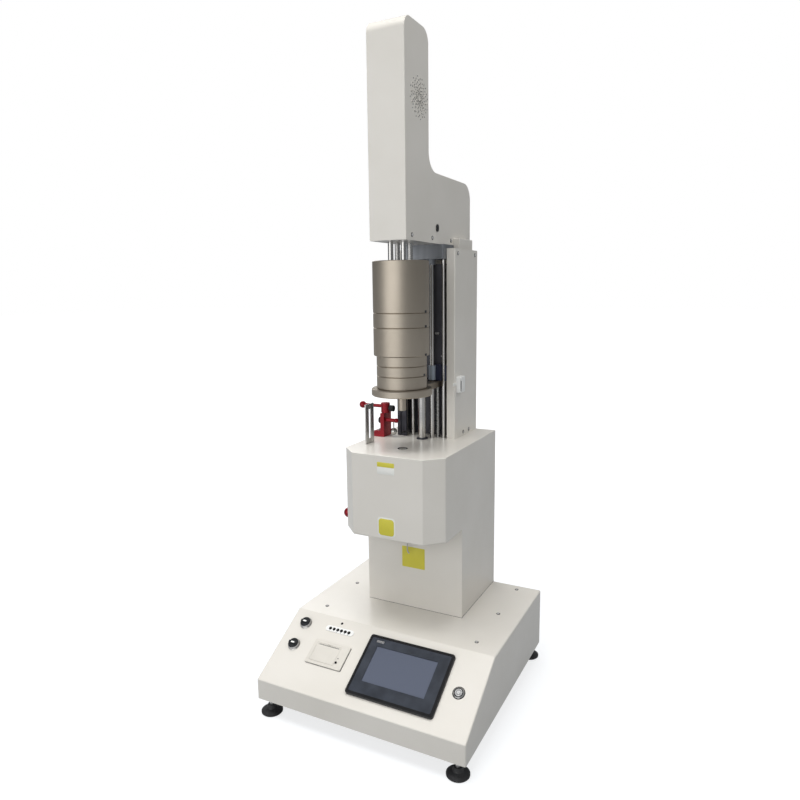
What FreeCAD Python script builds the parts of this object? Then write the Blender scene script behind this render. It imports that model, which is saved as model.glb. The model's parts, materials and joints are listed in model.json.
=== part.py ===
"""Melt flow index tester with a motor-driven stack of test weights.

A wedge-shaped sheet-metal base on four levelling feet carries the controls. A tower at its
back holds the heated barrel, and a channel column on the tower's deck carries the rods, the
lifting table with its six weights, and the tall head that takes the hanger rods when the
weights are raised.

Frame: millimetres, +Z up, +X to the operator's right, the operator stands at -Y. The origin
is on the floor, under the middle of the overall outline. Depths are given from the front lip
of the base, as `depth`, and turned into Y by `back_by`.
"""
import FreeCAD
import Part
import math
import os
from FreeCAD import Placement, Rotation, Vector

# Base enclosure
BASE_WIDTH = 500.0
BASE_DEPTH = 515.0
BASE_CLEARANCE = 37.0        # floor to the underside
LIP_HEIGHT = 46.4            # front lip, from the underside
DECK_HEIGHT = 141.4          # deck, from the underside
SLOPE_RUN = 166.0            # how far back the sloping panel reaches
BASE_WALL = 2.0
BASE_BEND = 3.5              # outside radius of the folded edges
PAN_FLANGE = 14.0
CABLE_WAY_WIDTH = 120.0      # hole in the deck under the tower
CABLE_WAY_DEPTH = 90.0
DECK_SCREW_INSET = 56.0      # from the sides
DECK_SCREW_AHEAD = 24.0      # rear pair, from the back
DECK_SCREW_BEHIND = 38.0     # front pair, behind the slope

# Levelling feet
FOOT_INSET_X = 23.5
FOOT_INSET_FRONT = 19.5
FOOT_INSET_BACK = 14.0
FOOT_PAD_RADIUS = 24.0
FOOT_PAD_HEIGHT = 19.0
FOOT_STUD_RADIUS = 5.0
FOOT_NUT_WIDTH = 17.0
FOOT_NUT_HEIGHT = 7.0
FOOT_STUD_ABOVE = 11.0       # stud left above the floor pan
FOOT_SOCKET = 8.0            # floor to the end of the stud, inside the pad

# Tower and furnace housing
TOWER_WIDTH = 248.0
TOWER_HEIGHT = 406.6         # deck to the top plate's face
TOWER_FRONT = 290.4          # depth of the pedestal's front
HOUSING_HEIGHT = 190.2       # furnace housing, top plate included
HOUSING_REACH = 80.0         # furnace front, ahead of the barrel axis
HOUSING_CHAMFER = 37.5
HOUSING_WALL = 2.5
HOUSING_BEND = 4.0
TOP_PLATE = 4.0
REAR_SCREW_INSET = 9.0
LOUVRE_COUNT = 7
LOUVRE_PITCH = 14.0
LOUVRE_LENGTH = 110.0
LOUVRE_WIDTH = 4.5

# Barrel and die
AXIS_DEPTH = 239.4           # barrel axis behind the front lip
BORE_RADIUS = 4.775
BARREL_LENGTH = 168.0
BARREL_RADIUS = 25.0
BARREL_NECK_RADIUS = 11.6
BARREL_MOUTH_RADIUS = 8.0
PLATE_HOLE_RADIUS = 12.0
BARREL_SUNK = 0.8            # mouth of the barrel below the plate's face
BARREL_FLANGE_RADIUS = 44.0
BARREL_FLANGE = 8.0
HEATER_RADIUS = 40.0
HEATER_LENGTH = 128.0
INSULATION_RADIUS = 62.0
DIE_RADIUS = 4.745
DIE_HEIGHT = 8.0
DIE_BORE_RADIUS = 1.0475
OUTLET_SIDE = 54.0           # square hole in the housing's floor
SLIDE_LENGTH = 62.0
SLIDE_WIDTH = 26.0
SLIDE_THICKNESS = 6.0
SLIDE_TRAVEL = 22.0
RAIL_LIP = 3.0               # how far the ledges reach under the slide
RAIL_CHEEK = 7.0
RAIL_LEDGE = 2.0
PULL_ROD_RADIUS = 4.0
PULL_ROD_OUT = 12.0          # rod that shows outside the housing
PULL_BALL_RADIUS = 12.0

# Strand cutter
CUTTER_X = -10.0
CUTTER_BEHIND = 38.0         # shaft behind the barrel axis
CUTTER_SHAFT_RADIUS = 2.5
CUTTER_MOTOR_RADIUS = 11.5
CUTTER_MOTOR_HEIGHT = 36.0
CUTTER_HUB_RADIUS = 5.5
CUTTER_HUB_HEIGHT = 8.0
CUTTER_BLADE_LENGTH = 44.0
CUTTER_BLADE_WIDTH = 8.0
CUTTER_BLADE_THICKNESS = 1.5
CUTTER_TAIL_DROP = 66.0
CUTTER_TAIL_BEND = 10.0
CUTTER_TAIL_RADIUS = 1.5

# Column
COLUMN_WIDTH = 146.0
COLUMN_BACK_INSET = 2.0      # ahead of the tower's back
COLUMN_HEIGHT = 446.0
COLUMN_BEHIND = 129.6        # column front behind the barrel axis
COLUMN_WALL = 2.5
COLUMN_FLANGE = 20.5
INNER_PANEL_BEHIND = 36.0    # black inner panel behind the column's front
INNER_PANEL = 3.0
COLUMN_SCREW_INSET = 18.0    # from the column's front and back
COLUMN_SCREW_RISE = 9.0
COLUMN_SCREW_DROP = 11.0
RAIL_WIDTH = 24.0            # black limit rail on the left flange
RAIL_THICKNESS = 7.0
RAIL_OVERHANG = 3.0          # outside the column's left side
RAIL_GROOVE = 8.0
PILLAR_X = 41.0
PILLAR_BEHIND = 139.0
PILLAR_RADIUS = 5.0
GUIDE_X = 16.0
GUIDE_BEHIND = 126.0
GUIDE_RADIUS = 5.5
COLLAR_RADIUS = 9.5
COLLAR_HEIGHT = 12.0
TOP_BLOCK_HALF = 51.5
TOP_BLOCK_HEIGHT = 33.0
TOP_BLOCK_BEHIND = 112.0
TOP_BLOCK_DEPTH = 62.0
ROD_SEAT = 8.0               # solid block above the rods' ends
SADDLE_HALF = 60.0
SADDLE_FRONT_BEHIND = 187.0
SADDLE_DEPTH = 84.0
SADDLE_PLATE = 9.0
SADDLE_CHEEK = 17.0
SADDLE_EDGE = 1.5
CATCH_HEIGHT = 38.0
CATCH_DEPTH = 26.0
CATCH_WIDTH = 11.0
CATCH_BACK = 4.0             # wall behind the slot
CATCH_JAW = 9.0
CATCH_RISE = 112.0           # catch above the top plate
CATCH_BEHIND = 9.0           # behind the column's front

# Lifting table
TABLE_RADIUS = 67.5
TABLE_THICKNESS = 16.0
TABLE_RISE = 123.0           # underside above the top plate
TABLE_RIM = 2.0
BOSS_RADIUS = 8.75
BOSS_LENGTH = 36.0
SPINDLE_RADIUS = 18.0
SPINDLE_HEIGHT = 168.0
ARM_WIDTH = 62.0
CARRIAGE_HEIGHT = 37.0
SLEEVE_RADIUS = 8.0
CARRIAGE_X = (14.0, 50.0)
CARRIAGE_DEPTH = 27.0
PUSH_ROD_X = -3.0
PUSH_ROD_BEHIND = 109.5
PUSH_ROD_RADIUS = 9.0
PUSH_ROD_BELOW = 105.0       # rod kept under the top plate
SCREW_X = 23.5
SCREW_BEHIND = 143.0
SCREW_RADIUS = 5.0
SCREW_BELOW = 110.0
LIFT_TRAVEL = 80.0
MOTOR_WIDTH = 42.0
MOTOR_AHEAD = 18.0           # motor's front ahead of the screw
GLAND_LENGTH = 40.0
GLAND_RIM = 3.5
RUNNING_GAP = 0.05           # radial, shafts in their bushes
FREE_GAP = 0.3               # between pieces that move past each other

# Weights, from the table upwards
SMALL_RADIUS = 55.5
LARGE_RADIUS = 61.5
WEIGHT_1_HEIGHT = 27.9
WEIGHT_2_HEIGHT = 22.2
WEIGHT_3_HEIGHT = 22.4
WEIGHT_4_HEIGHT = 61.1
WEIGHT_5_HEIGHT = 31.3
WEIGHT_6_HEIGHT = 110.7
WEIGHT_BORE = 23.0
WEIGHT_CHAMFER = 1.2
REGISTER_RADIUS = 40.0
REGISTER_WIDTH = 6.0
REGISTER_HEIGHT = 6.0
WEIGHT_LIFT = 5.0
TOP_WEB = 16.0               # closed top of the highest weight
HANGER_CIRCLE = 22.0
HANGER_RADIUS = 6.0
HANGER_LENGTH = 236.0
CROSSHEAD = 12.0
CROSSHEAD_MARGIN = 4.0
RAM_RADIUS = 7.9
RAM_INSERT = 8.0
CYLINDER_GAP = 4.0

# Head
HEAD_WIDTH = 86.0
HEAD_FRONT = 58.0            # ahead of the barrel axis
HEAD_HEIGHT = 432.0
TURRET_DEPTH = 113.5
HUMP_DEPTH = 357.0
HUMP_HEIGHT = 152.0
HEAD_WALL = 2.0
HEAD_TOP_FRONT_BEND = 11.0
HEAD_TOP_BACK_BEND = 15.0
HEAD_THROAT_BEND = 39.0
HUMP_BACK_BEND = 38.0
HEAD_EDGE = 1.6
HEAD_PLATE = 4.0
BUSH_WALL = 2.5
BUSH_HEIGHT = 22.0
VENT_BEHIND = 8.0            # vent centre behind the barrel axis
VENT_RISE = 288.0            # vent centre above the head's underside
VENT_ARMS = 12
VENT_HOLES = 5
VENT_FIRST = 8.0
VENT_STEP = 7.4
VENT_TWIST = 6.0             # degrees from one ring to the next
VENT_HOLE_RADIUS = 1.4
GROMMET_BEHIND = 96.5
GROMMET_RISE = 34.0
GROMMET_HEIGHT = 16.0
GROMMET_WIDTH = 11.0
FAN_SIZE = 76.0
FAN_DEPTH = 18.0
FAN_BLADES = 7
FAN_HUB_RADIUS = 17.0
FAN_TIP_RADIUS = 34.0
FAN_ARM = 4.0                # width of the arms that hold the hub
FAN_PIN_RADIUS = 2.0
ACTUATOR_SIDE = 40.0
ACTUATOR_HEIGHT = 118.0
HEAD_SCREW_RISE = 11.0
HEAD_SCREW_SHARES = (0.1122, 0.5304, 0.9588)    # of the way from the head's front to the saddle

# Controls on the sloping panel. Their places are shares of the panel's width, from its middle,
# and of its length, from the lip.
HMI_ACROSS = 0.136
HMI_UP = 0.515
HMI_WIDTH = 204.0
HMI_HEIGHT = 143.0
HMI_PROUD = 6.5
HMI_CORNER = 6.0
HMI_BODY_BACK = 34.0
HMI_BODY_INSET = 7.0
SCREEN_LEFT = 2.5            # screen's middle left of the bezel's
SCREEN_ABOVE = 3.5
SCREEN_WIDTH = 147.0
SCREEN_HEIGHT = 84.0
SCREEN_SUNK = 1.0
SCREEN_GLASS = 1.2
PRINTER_ACROSS = -0.229
PRINTER_UP = 0.5072
PRINTER_WIDTH = 93.0
PRINTER_HEIGHT = 58.0
PRINTER_PROUD = 3.5
PRINTER_BODY_BACK = 42.0
PRINTER_BODY_INSET = 3.0
PRINTER_WALL = 2.0
DOOR_WIDTH = 62.5
DOOR_HEIGHT = 44.0
DOOR_THICKNESS = 3.0
DOOR_EDGE = 8.5              # left edge of the frame to the door
DOOR_GAP = 0.4
DOOR_PIN_RADIUS = 1.5
ROLL_RADIUS = 16.0
ROLL_WIDTH = 56.0
FEED_BUTTON_RIGHT = 28.8     # from the printer's middle
FEED_BUTTON_BELOW = 13.6
FEED_BUTTON_RADIUS = 2.6
FEED_WELL = 4.0
FEED_TRAVEL = 1.2
LAMP_PLATE_ACROSS = -0.234
LAMP_PLATE_UP = 0.8366
LAMP_PLATE_WIDTH = 74.0
LAMP_PLATE_HEIGHT = 14.5
LAMP_PLATE_PROUD = 1.2
LAMP_COUNT = 6
LAMP_PITCH = 10.0
LAMP_RADIUS = 3.1
LENS_RISE = 2.0
LENS_TAIL = 8.0
BUZZER_ACROSS = -0.242
BUZZER_UP = 0.9307
BUZZER_RADIUS = 2.4
SELECTOR_ACROSS = -0.418
UPPER_SELECTOR_UP = 0.8209
LOWER_SELECTOR_UP = 0.5202
SELECTOR_RADIUS = 12.2
SELECTOR_HEIGHT = 6.0
SELECTOR_GRIP = 3.4
SELECTOR_GRIP_WIDTH = 6.0
SELECTOR_SHAFT_RADIUS = 4.0
SELECTOR_COLLAR_RADIUS = 14.5
SELECTOR_COLLAR = 2.6
SELECTOR_NECK_RADIUS = 10.8
SELECTOR_BODY_BACK = 26.0
BUTTON_ACROSS = 0.404
BUTTON_UP = 0.4967
BUTTON_RING_RADIUS = 12.0
BUTTON_RING_PROUD = 2.6
BUTTON_RADIUS = 8.0
BUTTON_PROUD = 3.4
BUTTON_TRAVEL = 2.4
BUTTON_NECK_RADIUS = 9.4
BUTTON_BODY_BACK = 24.0

# Red clamp on the tower's deck
CLAMP_INSET = 24.5           # clamp's middle from the tower's left side
CLAMP_BEHIND = 104.5
CLAMP_POST_WIDTH = 10.0
CLAMP_POST_DEPTH = 38.0
CLAMP_POST_HEIGHT = 58.0
CLAMP_FOOT_REACH = 18.0
CLAMP_FOOT_HEIGHT = 15.0
SWING_HUB_RADIUS = 11.0
SWING_HUB_HEIGHT = 24.0
SWING_PIN_RADIUS = 4.0
SWING_PIN_SHORT = 4.0        # pin's end below the hub's top
SWING_ROD_RADIUS = 4.2
SWING_ROD_LENGTH = 46.0
SWING_BALL_RADIUS = 8.6
LOCK_KNOB_RADIUS = 7.5
LOCK_KNOB_LENGTH = 11.0
LOCK_KNOB_LEVEL = 0.45       # share of the hub's height
THUMB_KNOB_RADIUS = 8.0
THUMB_KNOB_LENGTH = 10.0
THUMB_KNOB_RISE = 38.0
LEVER_RISE = 41.0
LEVER_AHEAD = 8.0            # lever's pivot ahead of the post's middle
LEVER_HUB_RADIUS = 4.6
LEVER_HUB_LENGTH = 28.0
LEVER_STEM_RADIUS = 1.6
LEVER_STEM_LENGTH = 27.0
LEVER_BALL_RADIUS = 8.6

# Slotted gauge bar
BAR_INSET = 29.0             # bar's middle from the tower's left side
BAR_AHEAD = 2.0              # front edge ahead of the barrel axis
BAR_DEPTH = 37.0
BAR_THICKNESS = 3.0
BAR_HEIGHT = 93.0
BAR_SLOT = 9.0
BAR_SLOT_END = 12.0          # solid metal at each end of the slot
BAR_BELOW = 30.0

# Power and control inside the base, and the inlet at the back
ELECTRICS_AHEAD = 185.0      # their middle ahead of the back
SUPPLY_ACROSS = -0.24        # share of the base's width
SUPPLY_WIDTH = 110.0
SUPPLY_DEPTH = 98.0
SUPPLY_HEIGHT = 42.0
TERMINAL_WIDTH = 102.0
TERMINAL_DEPTH = 12.0
BOARD_ACROSS = 0.19
BOARD_WIDTH = 170.0
BOARD_DEPTH = 120.0
BOARD_THICKNESS = 1.6
STANDOFF_HEIGHT = 10.0
STANDOFF_RADIUS = 3.0
STANDOFF_INSET = 6.0
CONNECTOR_WIDTH = 44.0
CONNECTOR_DEPTH = 12.0
CONNECTOR_HEIGHT = 13.0
HEAT_SINK_WIDTH = 60.0
HEAT_SINK_DEPTH = 45.0
HEAT_SINK_HEIGHT = 20.0
INLET_ACROSS = -0.36
INLET_RISE = 42.0            # above the underside
INLET_WIDTH = 30.0
INLET_HEIGHT = 24.0
INLET_FLANGE = 3.0
INLET_BODY = 26.0
SOCKET_WIDTH = 24.0
SOCKET_HEIGHT = 16.4
SOCKET_DEPTH = 17.0
BLADE_LENGTH = 9.0
BLADE_PITCH = 6.0
SCREW_HEAD_RADIUS = 4.0
SCREW_HEAD = 2.2

# Places that follow from the sizes above
FRONT_OVERHANG = FOOT_PAD_RADIUS - FOOT_INSET_FRONT
BACK_OVERHANG = max(AXIS_DEPTH - HEAD_FRONT + HUMP_DEPTH - BASE_DEPTH, FOOT_PAD_RADIUS - FOOT_INSET_BACK)
FRONT_Y = (FRONT_OVERHANG - BASE_DEPTH - BACK_OVERHANG) / 2
AXIS_Y = FRONT_Y + AXIS_DEPTH
BASE_BOTTOM = BASE_CLEARANCE
LIP_Z = BASE_BOTTOM + LIP_HEIGHT
DECK_Z = BASE_BOTTOM + DECK_HEIGHT
TOP_Z = DECK_Z + TOWER_HEIGHT
PLATE_BOTTOM = TOP_Z - TOP_PLATE
HOUSING_BOTTOM = TOP_Z - HOUSING_HEIGHT
COLUMN_TOP = TOP_Z + COLUMN_HEIGHT
HEAD_BOTTOM = COLUMN_TOP + SADDLE_PLATE
HEAD_TOP = HEAD_BOTTOM + HEAD_HEIGHT
COLUMN_FRONT_Y = AXIS_Y + COLUMN_BEHIND
TOWER_BACK_Y = FRONT_Y + BASE_DEPTH
CLAMP_X = CLAMP_INSET - TOWER_WIDTH / 2
BAR_X = BAR_INSET - TOWER_WIDTH / 2
COLUMN_BACK_Y = TOWER_BACK_Y - COLUMN_BACK_INSET
BARREL_TOP = TOP_Z - BARREL_SUNK
BARREL_BOTTOM = BARREL_TOP - BARREL_LENGTH
SLIDE_TOP = BARREL_BOTTOM - FREE_GAP
SLIDE_BOTTOM = SLIDE_TOP - SLIDE_THICKNESS
TABLE_Z = TOP_Z + TABLE_RISE
TABLE_TOP = TABLE_Z + TABLE_THICKNESS
WEIGHTS = (
    (SMALL_RADIUS, WEIGHT_1_HEIGHT), (SMALL_RADIUS, WEIGHT_2_HEIGHT), (SMALL_RADIUS, WEIGHT_3_HEIGHT),
    (LARGE_RADIUS, WEIGHT_4_HEIGHT), (LARGE_RADIUS, WEIGHT_5_HEIGHT), (LARGE_RADIUS, WEIGHT_6_HEIGHT))
STACK_TOP = TABLE_TOP + sum(height for _, height in WEIGHTS)
SLOPE_ANGLE = math.degrees(math.atan2(DECK_HEIGHT - LIP_HEIGHT, SLOPE_RUN))
SLOPE_LENGTH = math.hypot(DECK_HEIGHT - LIP_HEIGHT, SLOPE_RUN)
SLOPE_FRAME = Placement(Vector(0, FRONT_Y, LIP_Z), Rotation(Vector(1, 0, 0), SLOPE_ANGLE))
HMI_AT = (HMI_ACROSS * BASE_WIDTH, HMI_UP * SLOPE_LENGTH)
SCREEN_AT = (HMI_AT[0] - SCREEN_LEFT, HMI_AT[1] + SCREEN_ABOVE)
PRINTER_AT = (PRINTER_ACROSS * BASE_WIDTH, PRINTER_UP * SLOPE_LENGTH)
FEED_BUTTON_AT = (PRINTER_AT[0] + FEED_BUTTON_RIGHT, PRINTER_AT[1] - FEED_BUTTON_BELOW)
LAMP_PLATE_AT = (LAMP_PLATE_ACROSS * BASE_WIDTH, LAMP_PLATE_UP * SLOPE_LENGTH)
BUZZER_AT = (BUZZER_ACROSS * BASE_WIDTH, BUZZER_UP * SLOPE_LENGTH)
SELECTORS = {
    "upper": (SELECTOR_ACROSS * BASE_WIDTH, UPPER_SELECTOR_UP * SLOPE_LENGTH),
    "lower": (SELECTOR_ACROSS * BASE_WIDTH, LOWER_SELECTOR_UP * SLOPE_LENGTH)}
BUTTON_AT = (BUTTON_ACROSS * BASE_WIDTH, BUTTON_UP * SLOPE_LENGTH)
INLET_X = INLET_ACROSS * BASE_WIDTH
INLET_Z = BASE_BOTTOM + INLET_RISE

UP = Vector(0, 0, 1)
RIGHT = Vector(1, 0, 0)
BACK = Vector(0, 1, 0)
nodes = {}


def add(name, *solids):
    """Keep the solids of one sub-part under its node's name."""
    nodes[name] = solids[0] if len(solids) == 1 else Part.makeCompound(list(solids))


def box(x, y, z):
    """A block between pairs of x, y and z values."""
    corner = Vector(min(x), min(y), min(z))
    return Part.makeBox(abs(x[1] - x[0]), abs(y[1] - y[0]), abs(z[1] - z[0]), corner)


def rod(radius, start, end):
    """A round bar from one point to another."""
    start, end = Vector(*start), Vector(*end)
    return Part.makeCylinder(radius, (end - start).Length, start, end - start)


def ball(radius, centre, axis):
    """A ball with its poles on the bar that it ends."""
    return Part.makeSphere(radius, Vector(*centre), axis)


def outline(points, direction, length):
    """A straight prism of a closed outline."""
    wire = Part.makePolygon([Vector(*p) for p in points] + [Vector(*points[0])])
    return Part.Face(wire).extrude(direction * length)


def lathe(profile, centre, axis=UP):
    """A turned piece: the profile gives radius and distance along the axis."""
    wire = Part.makePolygon([Vector(r, 0, h) for r, h in profile + profile[:1]])
    turned = Part.Face(wire).revolve(Vector(0, 0, 0), UP, 360)
    turned.Placement = Placement(Vector(*centre), Rotation(UP, axis))
    return turned


def hexagon(width, height, centre):
    """A nut or bolt head, by its width across the flats."""
    corner = width / math.sqrt(3)
    turns = [math.radians(60 * k) for k in range(6)]
    points = [(centre[0] + corner * math.cos(a), centre[1] + corner * math.sin(a), centre[2]) for a in turns]
    return outline(points, UP, height)


def rounded_plate(width, height, low, high, corner):
    """A plate with rounded corners, centred on the local origin, between two levels."""
    plate = box((-width / 2, width / 2), (-height / 2, height / 2), (low, high))
    upright = [e for e in plate.Edges if abs(e.tangentAt(e.FirstParameter).z) > 0.99]
    return plate.makeFillet(corner, upright)


def on_slope(shape, place, out=0.0):
    """Set a shape made round the local origin onto the sloping panel."""
    local = Placement(Vector(place[0], place[1], out), Rotation())
    shape.Placement = SLOPE_FRAME.multiply(local).multiply(shape.Placement)
    return shape


def soften(shape, radius, chosen):
    """Round the edges that the test picks out."""
    return shape.makeFillet(radius, [edge for edge in shape.Edges if chosen(edge)])


def middle(edge):
    return edge.valueAt((edge.FirstParameter + edge.LastParameter) / 2)


def along(edge):
    return edge.tangentAt((edge.FirstParameter + edge.LastParameter) / 2)


def foot_places():
    """The four feet as x and y."""
    x = BASE_WIDTH / 2 - FOOT_INSET_X
    front, back = FRONT_Y + FOOT_INSET_FRONT, FRONT_Y + BASE_DEPTH - FOOT_INSET_BACK
    return [(side * x, y) for y in (front, back) for side in (-1, 1)]


def base_profile(inset):
    """Side view of the base: front lip, slope, deck and back, moved in by a wall."""
    lean = math.radians(SLOPE_ANGLE)
    front, back = FRONT_Y + inset, FRONT_Y + BASE_DEPTH - inset
    deck = DECK_Z - inset
    lip = LIP_Z - inset / math.cos(lean) + inset * math.tan(lean)
    knee = FRONT_Y + SLOPE_RUN + inset * math.tan(lean / 2)
    bottom = BASE_BOTTOM if inset == 0 else BASE_BOTTOM - 1
    return [(front, bottom), (front, lip), (knee, deck), (back, deck), (back, bottom)]


def base_block(inset):
    half = BASE_WIDTH / 2 - inset
    points = [(-half, y, z) for y, z in base_profile(inset)]
    return outline(points, RIGHT, 2 * half)


def panel_cut_outs():
    """What is cut through the slope for the controls."""
    deep = 4 * BASE_WALL
    hmi = box(
        (-HMI_WIDTH / 2 + HMI_BODY_INSET, HMI_WIDTH / 2 - HMI_BODY_INSET),
        (-HMI_HEIGHT / 2 + HMI_BODY_INSET, HMI_HEIGHT / 2 - HMI_BODY_INSET),
        (-deep, deep))
    printer = box(
        (-PRINTER_WIDTH / 2 + PRINTER_BODY_INSET, PRINTER_WIDTH / 2 - PRINTER_BODY_INSET),
        (-PRINTER_HEIGHT / 2 + PRINTER_BODY_INSET, PRINTER_HEIGHT / 2 - PRINTER_BODY_INSET),
        (-deep, deep))
    cuts = [on_slope(hmi, HMI_AT), on_slope(printer, PRINTER_AT)]
    for place in SELECTORS.values():
        cuts.append(on_slope(rod(SELECTOR_NECK_RADIUS, (0, 0, -deep), (0, 0, deep)), place))
    cuts.append(on_slope(rod(BUTTON_NECK_RADIUS, (0, 0, -deep), (0, 0, deep)), BUTTON_AT))
    for place in lamp_places():
        cuts.append(on_slope(rod(LAMP_RADIUS, (0, 0, -deep), (0, 0, deep)), place))
    cuts.append(on_slope(rod(BUZZER_RADIUS, (0, 0, -deep), (0, 0, deep)), BUZZER_AT))
    return cuts


def lamp_places():
    first = LAMP_PLATE_AT[0] - LAMP_PITCH * (LAMP_COUNT - 1) / 2
    return [(first + LAMP_PITCH * k, LAMP_PLATE_AT[1]) for k in range(LAMP_COUNT)]


def base():
    """Folded cover, floor pan and levelling feet."""
    cover = base_block(0)
    cover = soften(cover, BASE_BEND, lambda e: middle(e).z > BASE_BOTTOM + 1)
    cover = cover.cut(base_block(BASE_WALL))
    tower_middle = FRONT_Y + (TOWER_FRONT + BASE_DEPTH) / 2
    cable_way = box(
        (-CABLE_WAY_WIDTH / 2, CABLE_WAY_WIDTH / 2),
        (tower_middle - CABLE_WAY_DEPTH / 2, tower_middle + CABLE_WAY_DEPTH / 2),
        (DECK_Z - 2 * BASE_WALL, DECK_Z + 1))
    inlet_hole = box(
        (INLET_X - INLET_WIDTH / 2 + INLET_FLANGE, INLET_X + INLET_WIDTH / 2 - INLET_FLANGE),
        (TOWER_BACK_Y - 2 * BASE_WALL, TOWER_BACK_Y + 1),
        (INLET_Z - INLET_HEIGHT / 2 + INLET_FLANGE, INLET_Z + INLET_HEIGHT / 2 - INLET_FLANGE))
    cover = cover.cut(panel_cut_outs() + [cable_way, inlet_hole])
    add("base_cover", cover)

    half = BASE_WIDTH / 2 - BASE_WALL
    front, back = FRONT_Y + BASE_WALL, TOWER_BACK_Y - BASE_WALL
    pan = box((-half, half), (front, back), (BASE_BOTTOM, BASE_BOTTOM + PAN_FLANGE))
    hollow = box(
        (-half + BASE_WALL, half - BASE_WALL), (front + BASE_WALL, back - BASE_WALL),
        (BASE_BOTTOM + BASE_WALL, BASE_BOTTOM + PAN_FLANGE + 1))
    holes = [rod(FOOT_STUD_RADIUS, (x, y, 0), (x, y, BASE_BOTTOM + PAN_FLANGE)) for x, y in foot_places()]
    add("floor_pan", pan.cut([hollow] + holes))

    radius, height, way = FOOT_PAD_RADIUS, FOOT_PAD_HEIGHT, FOOT_STUD_RADIUS + RUNNING_GAP
    pad = [
        (0, 0), (radius - 1.5, 0), (radius, 1.5), (radius, 0.26 * height), (0.83 * radius, 0.42 * height),
        (0.5 * radius, 0.58 * height), (2.0 * FOOT_STUD_RADIUS, 0.74 * height),
        (1.8 * FOOT_STUD_RADIUS, height),
        (way, height), (way, FOOT_SOCKET), (0, FOOT_SOCKET)]
    add("foot_pads", *[lathe(pad, (x, y, 0)) for x, y in foot_places()])
    studs = []
    for x, y in foot_places():
        stud = rod(FOOT_STUD_RADIUS, (x, y, FOOT_SOCKET), (x, y, BASE_BOTTOM + BASE_WALL + FOOT_STUD_ABOVE))
        under = hexagon(FOOT_NUT_WIDTH, FOOT_NUT_HEIGHT, (x, y, BASE_BOTTOM - FOOT_NUT_HEIGHT))
        over = hexagon(FOOT_NUT_WIDTH, FOOT_NUT_HEIGHT, (x, y, BASE_BOTTOM + BASE_WALL))
        studs.append(stud.fuse([under, over]).removeSplitter())
    add("foot_studs", *studs)


def electrics():
    """Power supply, control board and the inlet in the back wall."""
    floor, y = BASE_BOTTOM + BASE_WALL, TOWER_BACK_Y - ELECTRICS_AHEAD
    x, front = SUPPLY_ACROSS * BASE_WIDTH, y - SUPPLY_DEPTH / 2
    case = box((x - SUPPLY_WIDTH / 2, x + SUPPLY_WIDTH / 2), (front, front + SUPPLY_DEPTH),
               (floor, floor + SUPPLY_HEIGHT))
    terminal = box((x - TERMINAL_WIDTH / 2, x + TERMINAL_WIDTH / 2), (front - TERMINAL_DEPTH, front),
                   (floor, floor + SUPPLY_HEIGHT / 2))
    supply = case.fuse(terminal).removeSplitter()

    x, level = BOARD_ACROSS * BASE_WIDTH, floor + STANDOFF_HEIGHT
    board = box((x - BOARD_WIDTH / 2, x + BOARD_WIDTH / 2), (y - BOARD_DEPTH / 2, y + BOARD_DEPTH / 2),
                (level, level + BOARD_THICKNESS))
    top = level + BOARD_THICKNESS
    front = y - BOARD_DEPTH / 2 + 2 * STANDOFF_RADIUS
    fitted = [box((x - HEAT_SINK_WIDTH / 2, x + HEAT_SINK_WIDTH / 2), (y, y + HEAT_SINK_DEPTH),
                  (top, top + HEAT_SINK_HEIGHT))]
    for side in (-1, 1):
        for end in (-1, 1):
            px = x + side * (BOARD_WIDTH / 2 - STANDOFF_INSET)
            py = y + end * (BOARD_DEPTH / 2 - STANDOFF_INSET)
            fitted.append(rod(STANDOFF_RADIUS, (px, py, floor), (px, py, level)))
        inner = x + side * (BOARD_WIDTH / 2 - STANDOFF_INSET - CONNECTOR_WIDTH - 2 * STANDOFF_RADIUS)
        fitted.append(box((inner, inner + side * CONNECTOR_WIDTH), (front, front + CONNECTOR_DEPTH),
                          (top, top + CONNECTOR_HEIGHT)))
    add("control_electronics", supply, board.fuse(fitted).removeSplitter())

    flange = box((INLET_X - INLET_WIDTH / 2, INLET_X + INLET_WIDTH / 2),
                 (TOWER_BACK_Y, TOWER_BACK_Y + INLET_FLANGE),
                 (INLET_Z - INLET_HEIGHT / 2, INLET_Z + INLET_HEIGHT / 2))
    body = box((INLET_X - SOCKET_WIDTH / 2, INLET_X + SOCKET_WIDTH / 2),
               (TOWER_BACK_Y - INLET_BODY, TOWER_BACK_Y),
               (INLET_Z - SOCKET_HEIGHT / 2, INLET_Z + SOCKET_HEIGHT / 2))
    root, wall = TOWER_BACK_Y + INLET_FLANGE - SOCKET_DEPTH, 2.0
    socket = box((INLET_X - SOCKET_WIDTH / 2 + wall, INLET_X + SOCKET_WIDTH / 2 - wall),
                 (root, TOWER_BACK_Y + INLET_FLANGE + 1),
                 (INLET_Z - SOCKET_HEIGHT / 2 + wall, INLET_Z + SOCKET_HEIGHT / 2 - wall))
    inlet = flange.fuse(body).removeSplitter().cut(socket)
    blades = []
    for dx, dz in ((-BLADE_PITCH, -BLADE_PITCH / 4), (0, BLADE_PITCH / 3), (BLADE_PITCH, -BLADE_PITCH / 4)):
        x, z = INLET_X + dx, INLET_Z + dz
        blades.append(box((x - 1, x + 1), (root - 1, root + BLADE_LENGTH), (z - 2, z + 2)))
    add("mains_inlet", inlet.fuse(blades).removeSplitter())


def housing_plan(inset, back):
    """Plan of the furnace housing with its two chamfered corners."""
    half, chamfer = TOWER_WIDTH / 2 - inset, HOUSING_CHAMFER - inset * (2 - math.sqrt(2))
    front = AXIS_Y - HOUSING_REACH + inset
    return [
        (-half, back), (-half, front + chamfer), (-half + chamfer, front),
        (half - chamfer, front), (half, front + chamfer), (half, back)]


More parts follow.
